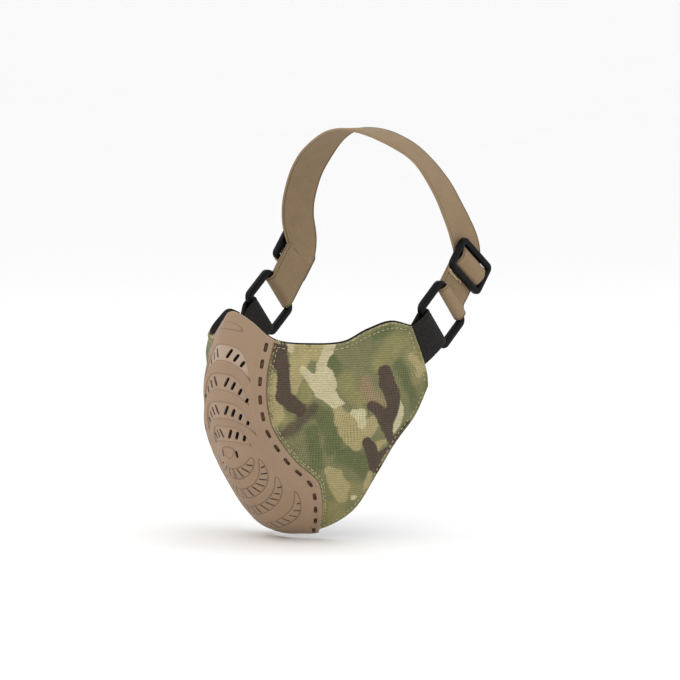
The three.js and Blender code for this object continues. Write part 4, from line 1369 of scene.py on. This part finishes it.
def hardware_piece(name, points, faces, side):
    piece = new_piece(name, on_side(side, points), faces, None, once(black_plastic))
    face_outward(piece)
    return piece


def strap_ring(side):
    points, faces = frame_of_bars(
        RING_WIDTH + RING_FULLER, RING_HEIGHT + RING_FULLER, RING_CORNER, sizes().ring_bar,
        RING_THICKNESS + RING_FULLER, RING_UP, RING_ACROSS, RING_CENTRE,
    )
    ring = hardware_piece(f"{side}_moulded_ring", points, faces, side)
    return ready(ring, f"{side}_ring", f"{side}_strap_ring")


def slider(side):
    """A frame whose middle bar lies a little further in, under the band."""
    bar = sizes().slider_bar
    points, faces = frame_of_bars(
        SLIDER_WIDTH + SLIDER_FULLER, SLIDER_HEIGHT + SLIDER_FULLER, SLIDER_CORNER, bar,
        SLIDER_THICKNESS + 0.6, STRAP_UP, STRAP_ACROSS, SLIDER_CENTRE + SLIDE_ROOM * OUT,
    )
    frame_piece = hardware_piece(f"{side}_moulded_slider", points, faces, side)
    section = bar_section(CROSSBAR_WIDTH, SLIDER_THICKNESS - 0.2)
    along = np.linspace(-1, 1, 20) * (SLIDER_WIDTH / 2 - bar / 2)
    rings = (
        SLIDER_CENTRE + along[:, None, None] * STRAP_ACROSS
        + section[None, :, :1] * STRAP_UP + section[None, :, 1:] * OUT
    )
    crossbar = hardware_piece("crossbar", *loft(rings), side)
    cut(frame_piece, crossbar, "UNION")
    keep_sharp(frame_piece, 50)
    return ready(frame_piece, f"{side}_slider", f"{side}_slider")


LOOP_RADIUS = RING_THICKNESS / 2 + BAR_ROOM + STRAP_THICKNESS / 2
UNDER_SLIDER = -SLIDER_THICKNESS / 2 - LAYER_GAP - STRAP_THICKNESS / 2


def strap_loop(side):
    """The band's end: from behind the slider, round the ring's upper bar and back up."""
    def inner(along):
        return UPPER_BAR + along * STRAP_UP - LOOP_RADIUS * OUT, STRAP_ACROSS, -OUT

    stations = [
        *(inner(along) for along in (25.5, 20, 14, 9, 5)),
        *round_bar(UPPER_BAR, LOOP_RADIUS, -1),
        (UPPER_BAR + 2 * RING_UP + 0.95 * LOOP_RADIUS * OUT, RING_ACROSS, OUT),
        (SLIDER_CENTRE - 20.9 * STRAP_UP + (UNDER_SLIDER + 0.3) * OUT, STRAP_ACROSS, OUT),
        (SLIDER_CENTRE - 15 * STRAP_UP + UNDER_SLIDER * OUT, STRAP_ACROSS, OUT),
        (SLIDER_CENTRE - 7 * STRAP_UP + UNDER_SLIDER * OUT, STRAP_ACROSS, OUT),
        (SLIDER_CENTRE + UNDER_SLIDER * OUT, STRAP_ACROSS, OUT),
    ]
    loop = band(f"{side}_band_loop", dense(stations), sizes().strap_width, sizes().strap_thickness,
                elastic(), side, edge=0.1)
    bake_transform(loop)
    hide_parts(f"{side}_strap_loop")
    return loop


def crown_band():
    """The band over the crown, from behind one slider to behind the other."""
    side = UPPER_BAR[0] - LOOP_RADIUS
    straight = [UPPER_BAR + along * STRAP_UP - LOOP_RADIUS * OUT for along in (25.55, 27.8)]
    over = [np.array((x * side / CROWN_WAY[0][0], y, z)) for x, y, z in CROWN_WAY]
    half = [*straight, *over]
    way = Curve([*half, *(point * MIRROR for point in half[-2::-1])], 4000)
    share = np.linspace(0, 1, 420)
    middle = way(share)
    along = unit(np.gradient(middle, axis=0))
    top = CROWN_WAY[-1][2]
    rear = 14 * smooth(SLIDER_CENTRE[2], SLIDER_CENTRE[2] + 25, middle[:, 2])
    rear = rear * (1 - smooth(top - 20, top, middle[:, 2]))
    away = np.stack([middle[:, 0] * 1.25, rear, np.maximum(middle[:, 2] - side, 0)], 1)
    normal = unit(away - np.sum(away * along, 1, keepdims=True) * along)
    stations = list(zip(middle, np.cross(normal, along), normal))
    piece = band("crown_band", stations, sizes().strap_width, sizes().strap_thickness, elastic())
    return ready(piece, "head_strap", "crown_strap")


def strap_hump(side):
    """The band over the slider's middle bar."""
    thick = sizes().strap_thickness
    lift = SLIDER_THICKNESS / 2 + SLIDE_ROOM + thick / 2
    edge = CROSSBAR_WIDTH / 2
    foot = edge + WINDOW_HEIGHT - SLIDE_ROOM - thick / 2
    rising = [(-foot, -0.85), (-foot * 0.82, 0.84), (-edge, lift), (0, lift + 0.3)]
    profile = [*rising, *((-along, out) for along, out in rising[-2::-1])]
    way = Curve([(along, out, 0) for along, out in profile])
    place = way(np.linspace(0, 1, 40))
    run = unit(np.gradient(place, axis=0))
    stations = [
        (SLIDER_CENTRE + a * STRAP_UP + b * OUT, STRAP_ACROSS, -t[1] * STRAP_UP + t[0] * OUT)
        for (a, b, _), t in zip(place, run)
    ]
    hump = band(f"{side}_band_hump", stations, sizes().strap_width - 1, thick, elastic(), side)
    return ready(hump, f"{side}_slider", f"{side}_strap_hump")


TACK_HALF, TACK_STITCHES, TACK_STITCH = 3.8, 19, (1.8, 0.55, 0.5)
TACK_TAILS = (   # start across and up, reach across, fall, phase of the curl
    (-3.9, 0.5, -4.0, 0.4, 4.0), (-4.1, 0.1, -3.2, 0.9, 3.2),
    (-3.6, 0, -1.8, 0.8, -1.8), (3.7, 0.1, 2.6, 0.5, 2.6),
)


def tack_middle():
    """Middle of the bar tack, on the outer face of the loop, below the slider."""
    out = UNDER_SLIDER + sizes().strap_thickness / 2 + 0.62
    below = SLIDER_HEIGHT / 2 + 1.5
    return SLIDER_CENTRE - below * STRAP_UP - 7 * STRAP_ACROSS + out * OUT


def bar_tack(side):
    """Zigzag of thread that closes the loop just below the slider."""
    at = np.linspace(-TACK_HALF, TACK_HALF, TACK_STITCHES)
    lean = np.where(np.arange(TACK_STITCHES) % 2, 1, -1)[:, None] * 0.28
    points = tack_middle() + at[:, None] * STRAP_ACROSS
    along = unit(STRAP_UP + lean * STRAP_ACROSS)
    up = np.broadcast_to(OUT, points.shape)
    points, along, up = (on_side(side, some) for some in (points, along, up))
    sewn = placed_pieces(
        f"{side}_bar_tack_sewn", bead, points, along, up, TACK_STITCH, material=once(sewing_thread)
    )
    return ready(sewn, f"{side}_slider", f"{side}_bar_tack")


def loose_threads(name, tubes, side, material):
    """One piece of all the thread ends in a place."""
    points, faces = joined(tubes)
    loose = new_piece(name, on_side(side, points), faces, None, material)
    face_outward(loose)
    return loose


def tack_threads(side):
    """Frayed tails that stand off the bar tack."""
    tails = []
    run = np.linspace(0, 1, 14)[:, None]
    for across, up, reach, fall, phase in TACK_TAILS:
        root = tack_middle() + across * STRAP_ACROSS + up * STRAP_UP
        curl = 0.7 * run * np.sin(run * 5 + phase) * STRAP_ACROSS
        line = root + run * reach * STRAP_ACROSS - run**1.4 * fall * STRAP_UP + curl
        tails.append(tube(line + (0.3 + 1.1 * np.sin(run * 3)) * OUT, 0.2, 6))
    loose = loose_threads(f"{side}_tack_threads", tails, side, once(sewing_thread, "fray"))
    return ready(loose, f"{side}_slider")


SEAM_TUFTS = 9


def seam_threads(side):
    """Loose ends of thread where the seam meets the top edge."""
    tufts = []
    for index in range(SEAM_TUFTS):
        across = 2.03 + 0.02 * index
        root, _, _, normal = (some[0] for some in FORM.frames(np.array([across]), np.array([0.012])))
        run = np.linspace(0, 1, 12)[:, None]
        sway = np.array((math.sin(index * 2.1), -0.3, 0.0)) * 1.6
        tall = 1.6 + 1.1 * abs(math.sin(index * 1.7))
        line = root + normal * 1.2 + run * np.array((0, 0, tall)) + run**2 * sway
        line = line + normal * 0.5 * np.sin(run * 4 + index)
        tufts.append(tube(line, 0.13, 6))
    loose = loose_threads(f"{side}_seam_threads", tufts, side, once(sewing_thread))
    return ready(loose, "root")


# ---- stage ----
FLOOR_REACH = 300000.0       # far enough for its edge never to be seen
FLOOR_BELOW = 1.2            # from the mask's lowest point
VIEW_WIDTH = 0.408           # what the view takes in at the mask, in metres
VIEW_RIGHT, VIEW_UP = -0.003, -0.0018      # and where its middle lies


def stage():
    lowest = CAD_BOX[0].z / MM - FLOOR_BELOW
    corners = [(x * FLOOR_REACH, y * FLOOR_REACH, lowest) for x, y in ((-1, -1), (1, -1), (1, 1), (-1, 1))]
    new_piece("floor", corners, [(0, 1, 2, 3)], None, once(pale_floor))
    world = bpy.data.worlds.new("soft_room")
    bpy.context.scene.world = world
    world.use_nodes = True
    room = world.node_tree.nodes["Background"].inputs
    room["Color"].default_value = (1, 1, 1, 1)
    room["Strength"].default_value = 1.0
    place_light("key", (-0.55, -1.1, 1.15), 0.8, 5.0)
    place_light("fill", (1.6, -0.7, 0.45), 1.2, 1.5)
    place_light("top", (0.2, 0.5, 1.6), 1.0, 3.0)
    place_camera()
    bpy.context.scene.view_settings.view_transform = "Standard"


def place_light(name, place, wide, power):
    lamp = bpy.data.lights.new(name, "AREA")
    lamp.shape, lamp.size, lamp.energy = "DISK", wide, power
    light = bpy.data.objects.new(name, lamp)
    light.location = place
    light.rotation_euler = (-Vector(place)).to_track_quat("-Z", "Y").to_euler()
    bpy.context.scene.collection.objects.link(light)


def place_camera():
    """Off to the wearer's left, a little above, far enough for a flat perspective."""
    turn, rise, distance = math.radians(42), math.radians(5), 2.4
    back = Vector((math.sin(turn) * math.cos(rise), -math.cos(turn) * math.cos(rise), math.sin(rise)))
    right = Vector((math.cos(turn), math.sin(turn), 0))
    up = back.cross(right)
    view = bpy.data.cameras.new("view")
    view.lens = view.sensor_width * distance / VIEW_WIDTH
    camera = bpy.data.objects.new("view", view)
    camera.rotation_mode = "QUATERNION"
    camera.location = back * distance + right * VIEW_RIGHT + up * VIEW_UP
    camera.rotation_quaternion = (-back).to_track_quat("-Z", "Y")
    bpy.context.scene.collection.objects.link(camera)
    bpy.context.scene.camera = camera


# ---- the add-on ----
class MASK_OT_plate(bpy.types.Operator):
    """Moulded front plate with sunk arches, drawn crescents and cut slots, and its mesh"""

    bl_idname = "mask.plate"
    bl_label = "Front Plate"

    def execute(self, context):
        front_plate()
        vent_mesh()
        return {"FINISHED"}


class MASK_OT_cheeks(bpy.types.Operator):
    """Padded cheeks in printed cloth, with their padding and lining"""

    bl_idname = "mask.cheeks"
    bl_label = "Cheeks"

    def execute(self, context):
        cheek = Cheek()
        for side in ("left", "right"):
            cheek_padding(side)
            cheek_cover(cheek, side)
            cheek_lining(cheek, side)
        return {"FINISHED"}


class MASK_OT_sewing(bpy.types.Operator):
    """Stitches and loose threads"""

    bl_idname = "mask.sewing"
    bl_label = "Sewing"

    def execute(self, context):
        cheek = Cheek()
        for side in ("left", "right"):
            cheek_stitches(cheek, side)
            seam_threads(side)
            bar_tack(side)
            tack_threads(side)
        return {"FINISHED"}


class MASK_OT_straps(bpy.types.Operator):
    """Webbing on the cheeks and the elastic band over the crown"""

    bl_idname = "mask.straps"
    bl_label = "Webbing and Band"

    def execute(self, context):
        crown_band()
        for side in ("left", "right"):
            webbing_tab(side)
            strap_loop(side)
            strap_hump(side)
        return {"FINISHED"}


class MASK_OT_hardware(bpy.types.Operator):
    """Moulded rings and sliders"""

    bl_idname = "mask.hardware"
    bl_label = "Rings and Sliders"

    def execute(self, context):
        for side in ("left", "right"):
            strap_ring(side)
            slider(side)
        return {"FINISHED"}


class MASK_OT_stage(bpy.types.Operator):
    """Floor, lights and camera"""

    bl_idname = "mask.stage"
    bl_label = "Stage"

    def execute(self, context):
        stage()
        return {"FINISHED"}


class MASK_PT_panel(bpy.types.Panel):
    """Sizes, colours and the steps that build the mask"""

    bl_idname = "MASK_PT_panel"
    bl_label = "Face Mask"
    bl_space_type = "VIEW_3D"
    bl_region_type = "UI"
    bl_category = "Face Mask"

    def draw(self, context):
        for operator in STEPS:
            self.layout.operator(operator.bl_idname)
        for group in (context.scene.mask_sizes, context.scene.mask_colours):
            box = self.layout.box()
            for name in type(group).__annotations__:
                box.prop(group, name)


STEPS = (MASK_OT_plate, MASK_OT_cheeks, MASK_OT_sewing, MASK_OT_straps, MASK_OT_hardware, MASK_OT_stage)
CLASSES = (MaskSizes, MaskColours, *STEPS, MASK_PT_panel)


def register():
    for some in CLASSES:
        bpy.utils.register_class(some)
    bpy.types.Scene.mask_sizes = bpy.props.PointerProperty(type=MaskSizes)
    bpy.types.Scene.mask_colours = bpy.props.PointerProperty(type=MaskColours)


def unregister():
    del bpy.types.Scene.mask_colours
    del bpy.types.Scene.mask_sizes
    for some in reversed(CLASSES):
        bpy.utils.unregister_class(some)


def main():
    register()
    bpy.ops.mask.plate()
    bpy.ops.mask.cheeks()
    bpy.ops.mask.sewing()
    bpy.ops.mask.straps()
    bpy.ops.mask.hardware()
    bpy.ops.mask.stage()


if __name__ == "__main__":
    main()
